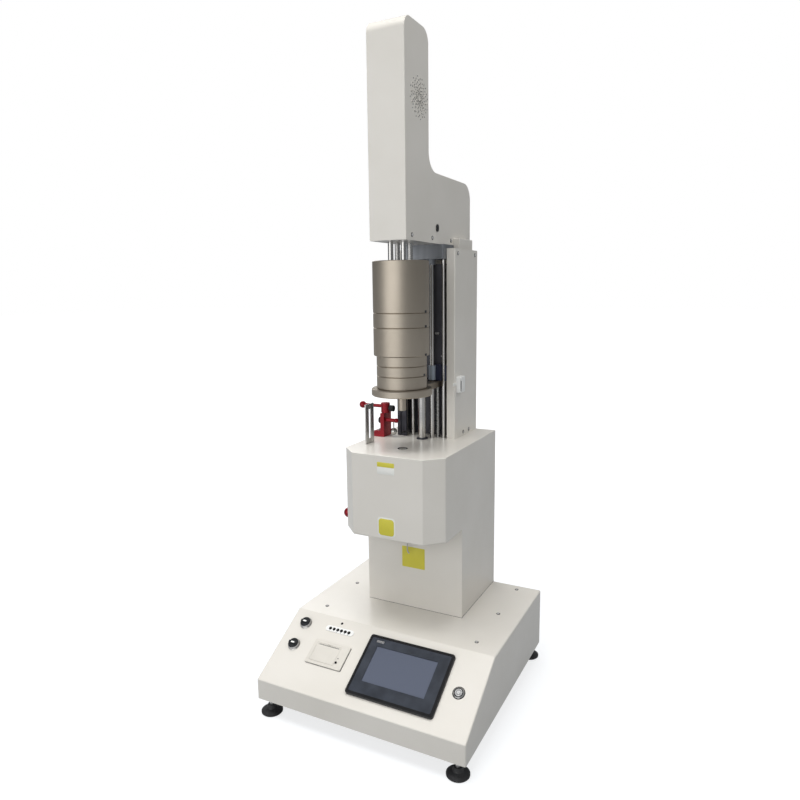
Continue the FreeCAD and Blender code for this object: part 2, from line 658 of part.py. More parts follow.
def tower():
    """Welded tower and furnace housing, deck plate and back panel."""
    half, wall = TOWER_WIDTH / 2, HOUSING_WALL
    pedestal_front = FRONT_Y + TOWER_FRONT
    upper = outline([(x, y, HOUSING_BOTTOM) for x, y in housing_plan(0, TOWER_BACK_Y)], UP,
                    PLATE_BOTTOM - HOUSING_BOTTOM)
    lower = box((-half, half), (pedestal_front, TOWER_BACK_Y), (DECK_Z, HOUSING_BOTTOM))
    shell = upper.fuse(lower).removeSplitter()
    ahead = AXIS_Y - HOUSING_REACH + HOUSING_CHAMFER + 1

    def bend(edge):
        point = middle(edge)
        in_front = point.y < ahead
        upright = abs(along(edge).z) > 0.99
        return in_front and (upright or abs(point.z - HOUSING_BOTTOM) < 0.1) and abs(along(edge).y) < 0.99

    shell = soften(shell, HOUSING_BEND, bend)
    inner_upper = outline([(x, y, HOUSING_BOTTOM + wall) for x, y in housing_plan(wall, TOWER_BACK_Y + 1)], UP,
                          PLATE_BOTTOM + 1 - HOUSING_BOTTOM - wall)
    inner_lower = box((-half + wall, half - wall), (pedestal_front + wall, TOWER_BACK_Y + 1),
                      (DECK_Z - 1, HOUSING_BOTTOM + wall + 1))
    side = OUTLET_SIDE / 2
    outlet = box((-side, side), (AXIS_Y - side, AXIS_Y + side), (HOUSING_BOTTOM - 1, HOUSING_BOTTOM + wall + 1))
    cutter_y = AXIS_Y + CUTTER_BEHIND
    cutter_hole = rod(CUTTER_HUB_RADIUS, (CUTTER_X, cutter_y, HOUSING_BOTTOM - 1),
                      (CUTTER_X, cutter_y, HOUSING_BOTTOM + wall + 1))
    pull_z = (SLIDE_TOP + SLIDE_BOTTOM) / 2
    pull_hole = rod(PULL_ROD_RADIUS + 1, (-half - 1, AXIS_Y, pull_z), (-half + wall + 1, AXIS_Y, pull_z))
    add("tower_housing", shell.cut([inner_upper, inner_lower, outlet, cutter_hole, pull_hole]))

    plate = outline([(x, y, PLATE_BOTTOM) for x, y in housing_plan(0, TOWER_BACK_Y)], UP, TOP_PLATE)
    plate = soften(plate, HOUSING_BEND - 0.5, lambda e: abs(along(e).z) > 0.99 and middle(e).y < ahead)
    plate = soften(plate, 1.2, lambda e: middle(e).z > TOP_Z - 0.1)
    low, high = PLATE_BOTTOM - 1, TOP_Z + 1
    holes = [
        rod(PLATE_HOLE_RADIUS, (0, AXIS_Y, low), (0, AXIS_Y, high)),
        rod(PUSH_ROD_RADIUS + 3, (PUSH_ROD_X, AXIS_Y + PUSH_ROD_BEHIND, low),
            (PUSH_ROD_X, AXIS_Y + PUSH_ROD_BEHIND, high)),
        rod(SCREW_RADIUS + 1, (SCREW_X, AXIS_Y + SCREW_BEHIND, low), (SCREW_X, AXIS_Y + SCREW_BEHIND, high)),
        box((BAR_X - BAR_THICKNESS / 2, BAR_X + BAR_THICKNESS / 2),
            (AXIS_Y - BAR_AHEAD, AXIS_Y - BAR_AHEAD + BAR_DEPTH), (low, high))]
    add("top_plate", plate.cut(holes))

    panel = box((-half + wall, half - wall), (TOWER_BACK_Y - wall, TOWER_BACK_Y), (DECK_Z, PLATE_BOTTOM))
    middle_z = (DECK_Z + HOUSING_BOTTOM) / 2
    slots = []
    for row in range(LOUVRE_COUNT):
        z = middle_z + (row - (LOUVRE_COUNT - 1) / 2) * LOUVRE_PITCH
        slots.append(box((-LOUVRE_LENGTH / 2, LOUVRE_LENGTH / 2), (TOWER_BACK_Y - 2 * wall, TOWER_BACK_Y + 1),
                         (z - LOUVRE_WIDTH / 2, z + LOUVRE_WIDTH / 2)))
    add("tower_back_panel", panel.cut(slots))


def furnace():
    """Barrel in its heater and insulation, and the die that closes its lower end."""
    flange_top = PLATE_BOTTOM
    barrel = [
        (BORE_RADIUS, BARREL_BOTTOM), (BARREL_RADIUS, BARREL_BOTTOM),
        (BARREL_RADIUS, flange_top - BARREL_FLANGE), (BARREL_FLANGE_RADIUS, flange_top - BARREL_FLANGE),
        (BARREL_FLANGE_RADIUS, flange_top), (BARREL_NECK_RADIUS, flange_top),
        (BARREL_NECK_RADIUS, BARREL_TOP), (BARREL_MOUTH_RADIUS, BARREL_TOP),
        (BORE_RADIUS, BARREL_TOP - (BARREL_MOUTH_RADIUS - BORE_RADIUS))]
    rails = []
    x = (-SLIDE_LENGTH / 2 - 10, SLIDE_LENGTH / 2 + 2)
    ledge_top = SLIDE_BOTTOM - FREE_GAP
    for side in (-1, 1):
        inner = AXIS_Y + side * (SLIDE_WIDTH / 2 + FREE_GAP)
        lip = AXIS_Y + side * (SLIDE_WIDTH / 2 - RAIL_LIP)
        outer = AXIS_Y + side * (SLIDE_WIDTH / 2 + RAIL_CHEEK)
        rails.append(box(x, (inner, outer), (ledge_top - RAIL_LEDGE, BARREL_BOTTOM)))
        rails.append(box(x, (lip, outer), (ledge_top - RAIL_LEDGE, ledge_top)))
    add("barrel", lathe(barrel, (0, AXIS_Y, 0)).fuse(rails).removeSplitter())

    heater_top = flange_top - BARREL_FLANGE
    heater_bottom = heater_top - HEATER_LENGTH
    jacket = rod(HEATER_RADIUS, (0, AXIS_Y, heater_bottom), (0, AXIS_Y, heater_top))
    core = rod(BARREL_RADIUS, (0, AXIS_Y, heater_bottom - 1), (0, AXIS_Y, heater_top + 1))
    jacket = jacket.cut(core)
    blanket = rod(INSULATION_RADIUS, (0, AXIS_Y, heater_bottom), (0, AXIS_Y, heater_top))
    core = rod(HEATER_RADIUS, (0, AXIS_Y, heater_bottom - 1), (0, AXIS_Y, heater_top + 1))
    add("heater_jacket", jacket, blanket.cut(core))

    die = rod(DIE_RADIUS, (0, AXIS_Y, BARREL_BOTTOM), (0, AXIS_Y, BARREL_BOTTOM + DIE_HEIGHT))
    passage = rod(DIE_BORE_RADIUS, (0, AXIS_Y, BARREL_BOTTOM - 1), (0, AXIS_Y, BARREL_BOTTOM + DIE_HEIGHT + 1))
    add("die", die.cut(passage))


def die_release():
    """Slide plate under the die, pulled out by the ball knob on the left."""
    half = TOWER_WIDTH / 2
    middle_z = (SLIDE_TOP + SLIDE_BOTTOM) / 2
    plate = box((-SLIDE_LENGTH / 2 - 6, SLIDE_LENGTH / 2 - 6),
                (AXIS_Y - SLIDE_WIDTH / 2, AXIS_Y + SLIDE_WIDTH / 2), (SLIDE_BOTTOM, SLIDE_TOP))
    strand_way = rod(DIE_RADIUS - 1.2, (0, AXIS_Y, SLIDE_BOTTOM - 1), (0, AXIS_Y, SLIDE_TOP + 1))
    release_way = rod(DIE_RADIUS + 1, (SLIDE_TRAVEL, AXIS_Y, SLIDE_BOTTOM - 1),
                      (SLIDE_TRAVEL, AXIS_Y, SLIDE_TOP + 1))
    plate = plate.cut([strand_way, release_way])
    lug = box((-SLIDE_LENGTH / 2 - 16, -SLIDE_LENGTH / 2 - 4), (AXIS_Y - 7, AXIS_Y + 7),
              (SLIDE_BOTTOM, SLIDE_TOP))
    ball_x = -half - PULL_ROD_OUT - PULL_BALL_RADIUS * 0.9
    pull = rod(PULL_ROD_RADIUS - 1.2, (-SLIDE_LENGTH / 2 - 16, AXIS_Y, middle_z), (ball_x, AXIS_Y, middle_z))
    slide = plate.fuse([lug, pull]).removeSplitter()

    knob = ball(PULL_BALL_RADIUS, (ball_x, AXIS_Y, middle_z), RIGHT)
    neck = rod(PULL_ROD_RADIUS + 1.5, (ball_x, AXIS_Y, middle_z), (-half - PULL_ROD_OUT / 2, AXIS_Y, middle_z))
    seat = rod(PULL_ROD_RADIUS - 1.2, (ball_x, AXIS_Y, middle_z), (-half, AXIS_Y, middle_z))
    add("die_slide", slide, knob.fuse(neck).removeSplitter().cut(seat))


def cutter():
    """Motor and arm that cut the strand under the die."""
    x, y = CUTTER_X, AXIS_Y + CUTTER_BEHIND
    floor = HOUSING_BOTTOM + HOUSING_WALL
    motor = rod(CUTTER_MOTOR_RADIUS, (x, y, floor), (x, y, floor + CUTTER_MOTOR_HEIGHT))
    shaft_hole = rod(CUTTER_SHAFT_RADIUS + RUNNING_GAP, (x, y, floor - 1),
                     (x, y, floor + CUTTER_MOTOR_HEIGHT / 2 + 2))
    add("cutter_motor", motor.cut(shaft_hole))

    hub_top = HOUSING_BOTTOM - FREE_GAP
    hub_bottom, half = hub_top - CUTTER_HUB_HEIGHT, CUTTER_BLADE_WIDTH / 2
    shaft = rod(CUTTER_SHAFT_RADIUS, (x, y, hub_bottom), (x, y, floor + CUTTER_MOTOR_HEIGHT / 2))
    hub = rod(CUTTER_HUB_RADIUS, (x, y, hub_bottom), (x, y, hub_top))
    blade_z = hub_bottom + CUTTER_BLADE_THICKNESS
    blade = outline([
        (x + 2, y - half, blade_z), (x + CUTTER_BLADE_LENGTH, y - 0.6 * half, blade_z),
        (x + CUTTER_BLADE_LENGTH + half, y + 0.7 * half, blade_z), (x + 2, y + half, blade_z)],
        UP, CUTTER_BLADE_THICKNESS)
    start = Vector(x, y, hub_bottom + 1)
    bend_at = Vector(x, y, hub_top - CUTTER_TAIL_DROP)
    turn = math.radians(60)
    radius = CUTTER_TAIL_BEND
    half_way = Vector(radius - radius * math.cos(turn / 2), 0, -radius * math.sin(turn / 2))
    ending = Vector(radius - radius * math.cos(turn), 0, -radius * math.sin(turn))
    path = Part.Wire([
        Part.LineSegment(start, bend_at).toShape(),
        Part.Arc(bend_at, bend_at + half_way, bend_at + ending).toShape()])
    section = Part.Wire(Part.makeCircle(CUTTER_TAIL_RADIUS, start, UP))
    tail = path.makePipeShell([section], True, False)
    add("cutter_arm", shaft.fuse([hub, blade, tail]).removeSplitter())


def column():
    """Channel column, its dark inner panel, the pillars and guide rods, and the block that ties them."""
    half = COLUMN_WIDTH / 2
    front, back = COLUMN_FRONT_Y, COLUMN_BACK_Y
    channel = box((-half, half), (front, back), (TOP_Z, COLUMN_TOP))
    channel = soften(channel, COLUMN_WALL, lambda e: abs(along(e).z) > 0.99)
    inside = box((-half + COLUMN_WALL, half - COLUMN_WALL), (front + COLUMN_WALL, back - COLUMN_WALL),
                 (TOP_Z - 1, COLUMN_TOP + 1))
    mouth = box((-half + COLUMN_FLANGE, half - COLUMN_FLANGE), (front - 1, front + 2 * COLUMN_WALL),
                (TOP_Z - 1, COLUMN_TOP + 1))
    add("column_channel", channel.cut([inside, mouth]))

    panel_y = front + INNER_PANEL_BEHIND
    width = half - COLUMN_WALL
    panel = box((-width, width), (panel_y, panel_y + INNER_PANEL), (TOP_Z, COLUMN_TOP - TOP_BLOCK_HEIGHT))
    add("column_inner_panel", panel)

    rail_left = -half - RAIL_OVERHANG
    rail = box((rail_left, rail_left + RAIL_WIDTH), (front - RAIL_THICKNESS, front),
               (TOP_Z, COLUMN_TOP - TOP_BLOCK_HEIGHT))
    groove_x = rail_left + (RAIL_WIDTH - RAIL_GROOVE) / 2
    groove = box((groove_x, groove_x + RAIL_GROOVE), (front - RAIL_THICKNESS - 1, front - RAIL_THICKNESS / 2),
                 (TOP_Z - 1, COLUMN_TOP))
    add("limit_rail", rail.cut(groove))

    block_y = AXIS_Y + TOP_BLOCK_BEHIND
    block_bottom = COLUMN_TOP + SADDLE_PLATE - TOP_BLOCK_HEIGHT
    block = box((-TOP_BLOCK_HALF, TOP_BLOCK_HALF), (block_y, block_y + TOP_BLOCK_DEPTH),
                (block_bottom, HEAD_BOTTOM))
    block = soften(block, 2.0, lambda e: abs(along(e).z) > 0.99 and middle(e).y < block_y + 1)
    pillar_y, guide_y = AXIS_Y + PILLAR_BEHIND, AXIS_Y + GUIDE_BEHIND
    top = HEAD_BOTTOM - ROD_SEAT
    rods = [rod(PILLAR_RADIUS, (side * PILLAR_X, pillar_y, TOP_Z), (side * PILLAR_X, pillar_y, top))
            for side in (-1, 1)]
    rods += [rod(GUIDE_RADIUS, (side * GUIDE_X, guide_y, TOP_Z), (side * GUIDE_X, guide_y, top))
             for side in (-1, 1)]
    collars = [rod(COLLAR_RADIUS, (side * GUIDE_X, guide_y, block_bottom - COLLAR_HEIGHT),
                   (side * GUIDE_X, guide_y, block_bottom)) for side in (-1, 1)]
    add("top_block", block.fuse(collars).removeSplitter().cut(rods))
    add("column_rods", *rods)


def head_chassis():
    """Welded chassis: saddle on the column, the head's floor plate and the hanger bushes."""
    y = (AXIS_Y + SADDLE_FRONT_BEHIND, AXIS_Y + SADDLE_FRONT_BEHIND + SADDLE_DEPTH)
    plate = box((-SADDLE_HALF, SADDLE_HALF), y, (COLUMN_TOP, HEAD_BOTTOM))
    inner = HEAD_WIDTH / 2
    top = HEAD_BOTTOM + SADDLE_CHEEK
    cheeks = [box((side * inner, side * SADDLE_HALF), y, (HEAD_BOTTOM, top)) for side in (-1, 1)]
    bracket = plate.fuse(cheeks).removeSplitter()
    bracket = soften(bracket, SADDLE_EDGE, lambda e: middle(e).z > top - 0.1)

    front, back = AXIS_Y - HEAD_FRONT + HEAD_WALL, AXIS_Y - HEAD_FRONT + HUMP_DEPTH - HEAD_WALL
    inner = HEAD_WIDTH / 2 - HEAD_WALL
    floor = box((-inner, inner), (front, back), (HEAD_BOTTOM, HEAD_BOTTOM + HEAD_PLATE))
    bushes, ways = [], []
    for x, y in hanger_places():
        bush_top = HEAD_BOTTOM + BUSH_HEIGHT
        bushes.append(rod(HANGER_RADIUS + BUSH_WALL, (x, y, HEAD_BOTTOM), (x, y, bush_top)))
        ways.append(rod(HANGER_RADIUS + RUNNING_GAP, (x, y, HEAD_BOTTOM - 1), (x, y, bush_top + 1)))
    add("head_chassis", bracket.fuse([floor] + bushes).removeSplitter().cut(ways))


def hanger_places():
    """The four hanger rods as x and y."""
    reach = HANGER_CIRCLE / math.sqrt(2)
    return [(sx * reach, AXIS_Y + sy * reach) for sx in (-1, 1) for sy in (-1, 1)]


def catch():
    """White interlock catch on the column's right side."""
    x = COLUMN_WIDTH / 2
    front = COLUMN_FRONT_Y + CATCH_BEHIND
    low = TOP_Z + CATCH_RISE
    body = box((x, x + CATCH_WIDTH), (front, front + CATCH_DEPTH), (low, low + CATCH_HEIGHT))
    slot = box((x + CATCH_BACK, x + CATCH_WIDTH + 1), (front - 1, front + CATCH_DEPTH * 0.62),
               (low + CATCH_JAW, low + CATCH_HEIGHT - CATCH_JAW))
    body = body.cut(slot)
    add("door_catch", soften(body, 1.2, lambda e: middle(e).x > x + CATCH_WIDTH - 0.1))


def table():
    """Lifting table with its arm, sleeves, push rod and drive screw."""
    block_y = AXIS_Y + GUIDE_BEHIND + SLEEVE_RADIUS + FREE_GAP
    arm_back = block_y + CARRIAGE_DEPTH
    guide_y = AXIS_Y + GUIDE_BEHIND
    push_y = AXIS_Y + PUSH_ROD_BEHIND
    disc = [
        (0, -BOSS_LENGTH), (BOSS_RADIUS - 1, -BOSS_LENGTH), (BOSS_RADIUS, -BOSS_LENGTH + 1), (BOSS_RADIUS, -6),
        (BOSS_RADIUS + 6, 0), (TABLE_RADIUS - TABLE_RIM, 0), (TABLE_RADIUS, TABLE_RIM),
        (TABLE_RADIUS, TABLE_THICKNESS - TABLE_RIM), (TABLE_RADIUS - TABLE_RIM, TABLE_THICKNESS),
        (SPINDLE_RADIUS, TABLE_THICKNESS), (SPINDLE_RADIUS, TABLE_THICKNESS + SPINDLE_HEIGHT - 3),
        (SPINDLE_RADIUS - 3, TABLE_THICKNESS + SPINDLE_HEIGHT), (0, TABLE_THICKNESS + SPINDLE_HEIGHT)]
    plate = lathe(disc, (0, AXIS_Y, TABLE_Z))
    register = lathe(register_ring(TABLE_THICKNESS), (0, AXIS_Y, TABLE_Z))
    arm = box((-ARM_WIDTH / 2, ARM_WIDTH / 2), (AXIS_Y + TABLE_RADIUS * 0.7, arm_back),
              (TABLE_Z + 1, TABLE_TOP - 1))
    bores = [rod(GUIDE_RADIUS + RUNNING_GAP, (side * GUIDE_X, guide_y, TABLE_Z - 1),
                 (side * GUIDE_X, guide_y, TABLE_TOP + CARRIAGE_HEIGHT + 1)) for side in (-1, 1)]
    push_seat = rod(PUSH_ROD_RADIUS, (PUSH_ROD_X, push_y, TABLE_Z - 1), (PUSH_ROD_X, push_y, TABLE_TOP - 4))
    sleeves = [rod(SLEEVE_RADIUS, (side * GUIDE_X, guide_y, TABLE_TOP - 2),
                   (side * GUIDE_X, guide_y, TABLE_TOP + CARRIAGE_HEIGHT)) for side in (-1, 1)]
    table_solid = plate.fuse([arm, register] + sleeves).removeSplitter()
    screw_way = rod(SCREW_RADIUS, (SCREW_X, AXIS_Y + SCREW_BEHIND, TABLE_Z - 1),
                    (SCREW_X, AXIS_Y + SCREW_BEHIND, TABLE_TOP + 1))
    add("lift_table", table_solid.cut(bores + [push_seat, screw_way]))

    block = box(CARRIAGE_X, (block_y, arm_back), (TABLE_TOP, TABLE_TOP + CARRIAGE_HEIGHT))
    pillar_way = rod(PILLAR_RADIUS + 1, (PILLAR_X, AXIS_Y + PILLAR_BEHIND, TABLE_Z),
                     (PILLAR_X, AXIS_Y + PILLAR_BEHIND, COLUMN_TOP))
    screw_y = AXIS_Y + SCREW_BEHIND
    screw_seat = rod(SCREW_RADIUS, (SCREW_X, screw_y, TABLE_Z), (SCREW_X, screw_y, screw_top()))
    add("screw_carriage", block.cut([pillar_way, screw_seat]))

    add("push_rod", rod(PUSH_ROD_RADIUS, (PUSH_ROD_X, push_y, TOP_Z - PUSH_ROD_BELOW),
                        (PUSH_ROD_X, push_y, TABLE_TOP - 4)))


def screw_top():
    """Upper end of the drive screw, inside the carriage block."""
    return TABLE_TOP + CARRIAGE_HEIGHT - 6


def register_ring(level):
    """Low ring that centres the weight above."""
    inner = REGISTER_RADIUS - REGISTER_WIDTH
    return [(inner, level), (REGISTER_RADIUS, level), (REGISTER_RADIUS, level + REGISTER_HEIGHT),
            (inner, level + REGISTER_HEIGHT)]


def weights():
    """Six test weights, each centred by the ring on the piece below."""
    level = TABLE_TOP
    last = len(WEIGHTS) - 1
    for place, (radius, height) in enumerate(WEIGHTS):
        chamfer = WEIGHT_CHAMFER
        socket_out, socket_in = REGISTER_RADIUS + FREE_GAP, REGISTER_RADIUS - REGISTER_WIDTH - FREE_GAP
        deep = REGISTER_HEIGHT + FREE_GAP
        profile = [
            (WEIGHT_BORE, 0), (socket_in, 0), (socket_in, deep), (socket_out, deep), (socket_out, 0),
            (radius - chamfer, 0), (radius, chamfer), (radius, height - chamfer), (radius - chamfer, height)]
        if place < last:
            inner = REGISTER_RADIUS - REGISTER_WIDTH
            profile += [
                (REGISTER_RADIUS, height), (REGISTER_RADIUS, height + REGISTER_HEIGHT),
                (inner, height + REGISTER_HEIGHT), (inner, height), (WEIGHT_BORE, height)]
        else:
            profile += [(0, height), (0, height - TOP_WEB), (WEIGHT_BORE, height - TOP_WEB)]
        add("weight_%d" % (place + 1), lathe(profile, (0, AXIS_Y, level)))
        level += height


def hangers():
    """Four bright rods that lift the stack into the head, their crosshead and the ram above it."""
    low, high = STACK_TOP, STACK_TOP + HANGER_LENGTH
    rods = [rod(HANGER_RADIUS, (x, y, low), (x, y, high)) for x, y in hanger_places()]
    side = HANGER_CIRCLE / math.sqrt(2) + HANGER_RADIUS + CROSSHEAD_MARGIN
    plate = box((-side, side), (AXIS_Y - side, AXIS_Y + side), (high, high + CROSSHEAD))
    plate = soften(plate, CROSSHEAD_MARGIN, lambda e: abs(along(e).z) > 0.99)
    ram = rod(RAM_RADIUS, (ram_x(), AXIS_Y, high + CROSSHEAD),
              (ram_x(), AXIS_Y, cylinder_bottom() + RAM_INSERT))
    add("hanger_frame", plate.fuse(rods + [ram]).removeSplitter())


def cylinder_bottom():
    return STACK_TOP + HANGER_LENGTH + CROSSHEAD + len(WEIGHTS) * WEIGHT_LIFT + CYLINDER_GAP


def ram_x():
    return -HEAD_WIDTH / 2 + HEAD_WALL + ACTUATOR_SIDE / 2


def head_profile(inset):
    """Side view of the head cover as a closed wire: turret, throat, hump and underside."""
    front = AXIS_Y - HEAD_FRONT + inset
    turret_back = AXIS_Y - HEAD_FRONT + TURRET_DEPTH - inset
    back = AXIS_Y - HEAD_FRONT + HUMP_DEPTH - inset
    bottom, top, hump = HEAD_BOTTOM, HEAD_TOP - inset, HEAD_BOTTOM + HUMP_HEIGHT - inset
    r1, r2 = HEAD_TOP_FRONT_BEND - inset, HEAD_TOP_BACK_BEND - inset
    r3, r4 = HEAD_THROAT_BEND + inset, HUMP_BACK_BEND - inset
    s = 1 - math.sqrt(0.5)

    def at(y, z):
        return Vector(0, y, z)

    edges = [
        Part.LineSegment(at(front, bottom), at(front, top - r1)),
        Part.Arc(at(front, top - r1), at(front + s * r1, top - s * r1), at(front + r1, top)),
        Part.LineSegment(at(front + r1, top), at(turret_back - r2, top)),
        Part.Arc(at(turret_back - r2, top), at(turret_back - s * r2, top - s * r2), at(turret_back, top - r2)),
        Part.LineSegment(at(turret_back, top - r2), at(turret_back, hump + r3)),
        Part.Arc(at(turret_back, hump + r3), at(turret_back + s * r3, hump + s * r3), at(turret_back + r3, hump)),
        Part.LineSegment(at(turret_back + r3, hump), at(back - r4, hump)),
        Part.Arc(at(back - r4, hump), at(back - s * r4, hump - s * r4), at(back, hump - r4)),
        Part.LineSegment(at(back, hump - r4), at(back, bottom)),
        Part.LineSegment(at(back, bottom), at(front, bottom))]
    return Part.Wire([edge.toShape() for edge in edges])


def vent_holes():
    """Sunburst of round holes, each ring turned a little from the one inside it."""
    x = HEAD_WIDTH / 2
    y, z = AXIS_Y + VENT_BEHIND, HEAD_BOTTOM + VENT_RISE
    holes = []
    for ring in range(VENT_HOLES):
        radius = VENT_FIRST + VENT_STEP * ring
        for arm in range(VENT_ARMS):
            angle = math.radians(360.0 * arm / VENT_ARMS + VENT_TWIST * ring)
            hy, hz = y + radius * math.cos(angle), z + radius * math.sin(angle)
            holes.append(rod(VENT_HOLE_RADIUS, (x - 2 * HEAD_WALL, hy, hz), (x + 1, hy, hz)))
    return holes


def head():
    """Tall cover with its vent, and the grommet in its right side."""
    half = HEAD_WIDTH / 2
    cover = Part.Face(head_profile(0)).extrude(RIGHT * HEAD_WIDTH)
    cover.translate(Vector(-half, 0, 0))
    cover = soften(cover, HEAD_EDGE,
                   lambda e: abs(abs(middle(e).x) - half) < 0.1 and middle(e).z > HEAD_BOTTOM + 1)
    hollow = Part.Face(head_profile(HEAD_WALL)).extrude(RIGHT * (HEAD_WIDTH - 2 * HEAD_WALL))
    hollow.translate(Vector(-half + HEAD_WALL, 0, 0))
    cover = cover.cut(hollow)
    y, z = AXIS_Y + GROMMET_BEHIND, HEAD_BOTTOM + GROMMET_RISE
    across, tall = GROMMET_WIDTH / 2, GROMMET_HEIGHT / 2
    hole = rod(across - 1.5, (half - 5, y, z), (half + 1, y, z))
    add("head_cover", cover.cut([hole] + vent_holes()))

    oval = box((half, half + 2.5), (y - across, y + across), (z - tall, z + tall))
    oval = soften(oval, across - 0.2, lambda e: abs(along(e).x) > 0.99)
    stem = rod(across - 1.5, (half - HEAD_WALL - 4, y, z), (half, y, z))
    grip = rod(across - 2.6, (half + 1.2, y, z), (half + 3.5, y, z))
    add("head_grommet", oval.fuse(stem).removeSplitter().cut(grip))


def head_drive():
    """Electric cylinder over the crosshead, and the cooling fan behind the vent."""
    low, half = cylinder_bottom(), ACTUATOR_SIDE / 2
    cylinder = box((ram_x() - half, ram_x() + half), (AXIS_Y - half, AXIS_Y + half),
                   (low, low + ACTUATOR_HEIGHT))
    way = rod(RAM_RADIUS + FREE_GAP, (ram_x(), AXIS_Y, low - 1),
              (ram_x(), AXIS_Y, low + RAM_INSERT + len(WEIGHTS) * WEIGHT_LIFT + 4))
    add("lift_cylinder", cylinder.cut(way))

    wall = HEAD_WIDTH / 2 - HEAD_WALL
    y, z = AXIS_Y + VENT_BEHIND, HEAD_BOTTOM + VENT_RISE
    side = FAN_SIZE / 2
    inner, reach, arm = wall - FAN_DEPTH, side - 1, FAN_ARM / 2
    frame = box((inner, wall), (y - side, y + side), (z - side, z + side))
    frame = soften(frame, 5, lambda e: abs(along(e).x) > 0.99)
    duct = rod(FAN_TIP_RADIUS + 1.5, (inner - 1, y, z), (wall + 1, y, z))
    spider = rod(FAN_HUB_RADIUS - 1, (inner, y, z), (inner + 2, y, z))
    arms = [box((inner, inner + 2), (y - reach, y + reach), (z - arm, z + arm)),
            box((inner, inner + 2), (y - arm, y + arm), (z - reach, z + reach))]
    pin = rod(FAN_PIN_RADIUS, (inner, y, z), (wall - 4, y, z))
    add("fan_frame", frame.cut(duct).fuse([spider, pin] + arms).removeSplitter())

    near, far = inner + 2 + FREE_GAP, wall - 1.5
    hub = rod(FAN_HUB_RADIUS, (near, y, z), (far, y, z))
    blades = []
    for k in range(FAN_BLADES):
        a = 2 * math.pi * k / FAN_BLADES
        root, tip = FAN_HUB_RADIUS - 2, FAN_TIP_RADIUS
        sections = []
        for x, lead in ((near + 1, a - 0.30), (far - 1, a + 0.30)):
            corners = ((root, lead), (tip, lead), (tip, lead + 0.10), (root, lead + 0.14), (root, lead))
            sections.append(Part.makePolygon([
                Vector(x, y + r * math.cos(b), z + r * math.sin(b)) for r, b in corners]))
        blades.append(Part.makeLoft(sections, True, True))
    bore = rod(FAN_PIN_RADIUS + RUNNING_GAP, (near - 1, y, z), (wall - 3.5, y, z))
    add("fan_rotor", hub.fuse(blades).removeSplitter().cut(bore))


def lift_drive():
    """Drive screw and motor in the tower, and the guide that the push rod runs in."""
    x, y = SCREW_X, AXIS_Y + SCREW_BEHIND
    add("drive_screw", rod(SCREW_RADIUS, (x, y, TOP_Z - SCREW_BELOW), (x, y, screw_top())))
    r, bottom, rim = PUSH_ROD_RADIUS, PLATE_BOTTOM - GLAND_LENGTH, TOP_Z + GLAND_RIM
    sleeve = [
        (r + RUNNING_GAP, bottom), (r + 6, bottom), (r + 6, PLATE_BOTTOM), (r + 3, PLATE_BOTTOM),
        (r + 3, TOP_Z),
        (r + 5, TOP_Z), (r + 5, rim - 1.5), (r + 3, rim), (r + RUNNING_GAP, rim)]
    add("push_rod_gland", lathe(sleeve, (PUSH_ROD_X, AXIS_Y + PUSH_ROD_BEHIND, 0)))
    low = TOP_Z - SCREW_BELOW - LIFT_TRAVEL - 8
    case = box((x - MOTOR_WIDTH / 2, x + MOTOR_WIDTH / 2), (y - MOTOR_AHEAD, y - MOTOR_AHEAD + MOTOR_WIDTH),
               (low, PLATE_BOTTOM))
    way = rod(SCREW_RADIUS + RUNNING_GAP, (x, y, low + 4), (x, y, PLATE_BOTTOM + 1))
    add("lift_motor", case.cut(way))


def touch_panel():
    """Operator panel: bezel with its rear case, and the glass."""
    frame = rounded_plate(HMI_WIDTH, HMI_HEIGHT, 0, HMI_PROUD, HMI_CORNER)
    frame = soften(frame, 1.5, lambda e: middle(e).z > HMI_PROUD - 0.1)
    case = box((-HMI_WIDTH / 2 + HMI_BODY_INSET, HMI_WIDTH / 2 - HMI_BODY_INSET),
               (-HMI_HEIGHT / 2 + HMI_BODY_INSET, HMI_HEIGHT / 2 - HMI_BODY_INSET), (-HMI_BODY_BACK, 0))
    window = box((-SCREEN_LEFT - SCREEN_WIDTH / 2, -SCREEN_LEFT + SCREEN_WIDTH / 2),
                 (SCREEN_ABOVE - SCREEN_HEIGHT / 2, SCREEN_ABOVE + SCREEN_HEIGHT / 2),
                 (HMI_PROUD - SCREEN_SUNK - SCREEN_GLASS, HMI_PROUD + 1))
    add("panel_bezel", on_slope(frame.fuse(case).removeSplitter().cut(window), HMI_AT))
    glass = box((-SCREEN_WIDTH / 2, SCREEN_WIDTH / 2), (-SCREEN_HEIGHT / 2, SCREEN_HEIGHT / 2),
                (HMI_PROUD - SCREEN_SUNK - SCREEN_GLASS, HMI_PROUD - SCREEN_SUNK))
    add("panel_glass", on_slope(glass, SCREEN_AT))


def roll_level():
    """Height of the paper roll's axis over the panel's face."""
    return -PRINTER_BODY_BACK + PRINTER_WALL + FREE_GAP + ROLL_RADIUS


def door_left():
    return -PRINTER_WIDTH / 2 + DOOR_EDGE


